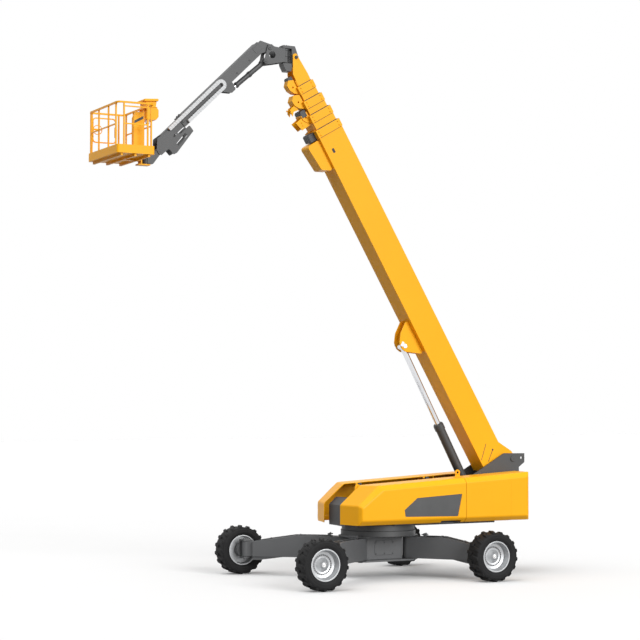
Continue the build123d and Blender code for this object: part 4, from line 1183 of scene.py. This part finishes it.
slab(grip, [(x, grip_at.y - CLOSER_HALF, z) for x, z in closer], (0, 2 * CLOSER_HALF, 0))
add_piece("gate_grip", grip, "gate", yellow_paint)
turns = [2 * math.pi * k / GATE_STEPS for k in range(GATE_STEPS + 1)]
hoop = [HOOP_AT + Vector((HOOP_R * math.cos(t), grip_at.y, HOOP_R * math.sin(t))) for t in turns]
add_pipes("gate_hoop", [hoop], HOOP_TUBE, "gate", yellow_paint)
add_piece("gate_collars", ends, "gate", black)

# Floor, light and camera
# A pale floor that fades into a white room. Broad soft light comes from the camera's side and from
# above the basket's end, under a sky that darkens below the horizon.
CAMERA_AT = (18.89, 36.38, 4.29)
CAMERA_TURN = (92.42, 0.0, 152.6)
LENS = 98.98
SENSOR = 36.0
FAR = 500.0
scene = bpy.context.scene
scene.view_settings.view_transform = "Standard"
lens = bpy.data.cameras.new("camera")
lens.lens = LENS
lens.sensor_width = SENSOR
lens.clip_end = FAR
camera = bpy.data.objects.new("camera", lens)
camera.location = CAMERA_AT
camera.rotation_euler = [math.radians(a) for a in CAMERA_TURN]
scene.collection.objects.link(camera)
scene.camera = camera


def seen_rays(tree):
    """One for the rays that show the room to the camera, straight or by way of metal or glass."""
    rays = tree.nodes.new("ShaderNodeLightPath")
    seen = rays.outputs["Is Camera Ray"]
    for kind in ("Is Glossy Ray", "Is Transmission Ray"):
        either = tree.nodes.new("ShaderNodeMath")
        either.operation = "MAXIMUM"
        tree.links.new(seen, either.inputs[0])
        tree.links.new(rays.outputs[kind], either.inputs[1])
        seen = either.outputs[0]
    return seen


SKY = 0.75
GROUND = 0.03
HORIZON = -0.1
world = bpy.data.worlds.new("studio")
scene.world = world
world.use_nodes = True
tree = world.node_tree
around = tree.nodes.new("ShaderNodeTexCoord")
split = tree.nodes.new("ShaderNodeSeparateXYZ")
tree.links.new(around.outputs["Generated"], split.inputs["Vector"])
height = tree.nodes.new("ShaderNodeMapRange")
height.inputs["From Min"].default_value = HORIZON
height.inputs["To Min"].default_value = GROUND
height.inputs["To Max"].default_value = SKY
tree.links.new(split.outputs["Z"], height.inputs["Value"])
level = tree.nodes.new("ShaderNodeMix")
level.inputs["B"].default_value = 1.0
tree.links.new(seen_rays(tree), level.inputs["Factor"])
tree.links.new(height.outputs["Result"], level.inputs["A"])
tree.links.new(level.outputs["Result"], tree.nodes["Background"].inputs["Strength"])
tree.nodes["Background"].inputs["Color"].default_value = (1, 1, 1, 1)

# Suns: name, strength, angle across, tilt from upright, compass turn
SUNS = [
    ("key", 2.7, 40, 70, 192),
    ("front", 1.5, 60, 32, 90),
]
for name, strength, across, tilt, turn in SUNS:
    lamp = bpy.data.lights.new(name, "SUN")
    lamp.energy = strength
    lamp.angle = math.radians(across)
    sun = bpy.data.objects.new(name, lamp)
    sun.rotation_euler = (math.radians(tilt), 0, math.radians(turn))
    scene.collection.objects.link(sun)

FLOOR_HALF = 120.0
FLOOR_WHITE = (0.74, 0.74, 0.74)
FLOOR_GLOW = 0.10
FLOOR_BOUNCE = (0.20, 0.20, 0.20, 1)
floor_white = cloudy("floor_white", FLOOR_WHITE, 0.005, 3.0, 0.9, 0.02, 0.05, 0.001, shine=0.0)
tree = floor_white.node_tree
shader = tree.nodes["Principled BSDF"]
shader.inputs["Emission Color"].default_value = (1, 1, 1, 1)
shader.inputs["Emission Strength"].default_value = FLOOR_GLOW
dull = tree.nodes.new("ShaderNodeBsdfDiffuse")
dull.inputs["Color"].default_value = FLOOR_BOUNCE
choose = tree.nodes.new("ShaderNodeMixShader")
tree.links.new(seen_rays(tree), choose.inputs[0])
tree.links.new(dull.outputs[0], choose.inputs[1])
tree.links.new(shader.outputs[0], choose.inputs[2])
tree.links.new(choose.outputs[0], tree.nodes["Material Output"].inputs["Surface"])
mesh = bpy.data.meshes.new("floor")
mesh.from_pydata([(x * FLOOR_HALF, y * FLOOR_HALF, 0) for x, y in SQUARE], [], [(0, 1, 2, 3)])
mesh.materials.append(floor_white)
floor = bpy.data.objects.new("floor", mesh)
scene.collection.objects.link(floor)
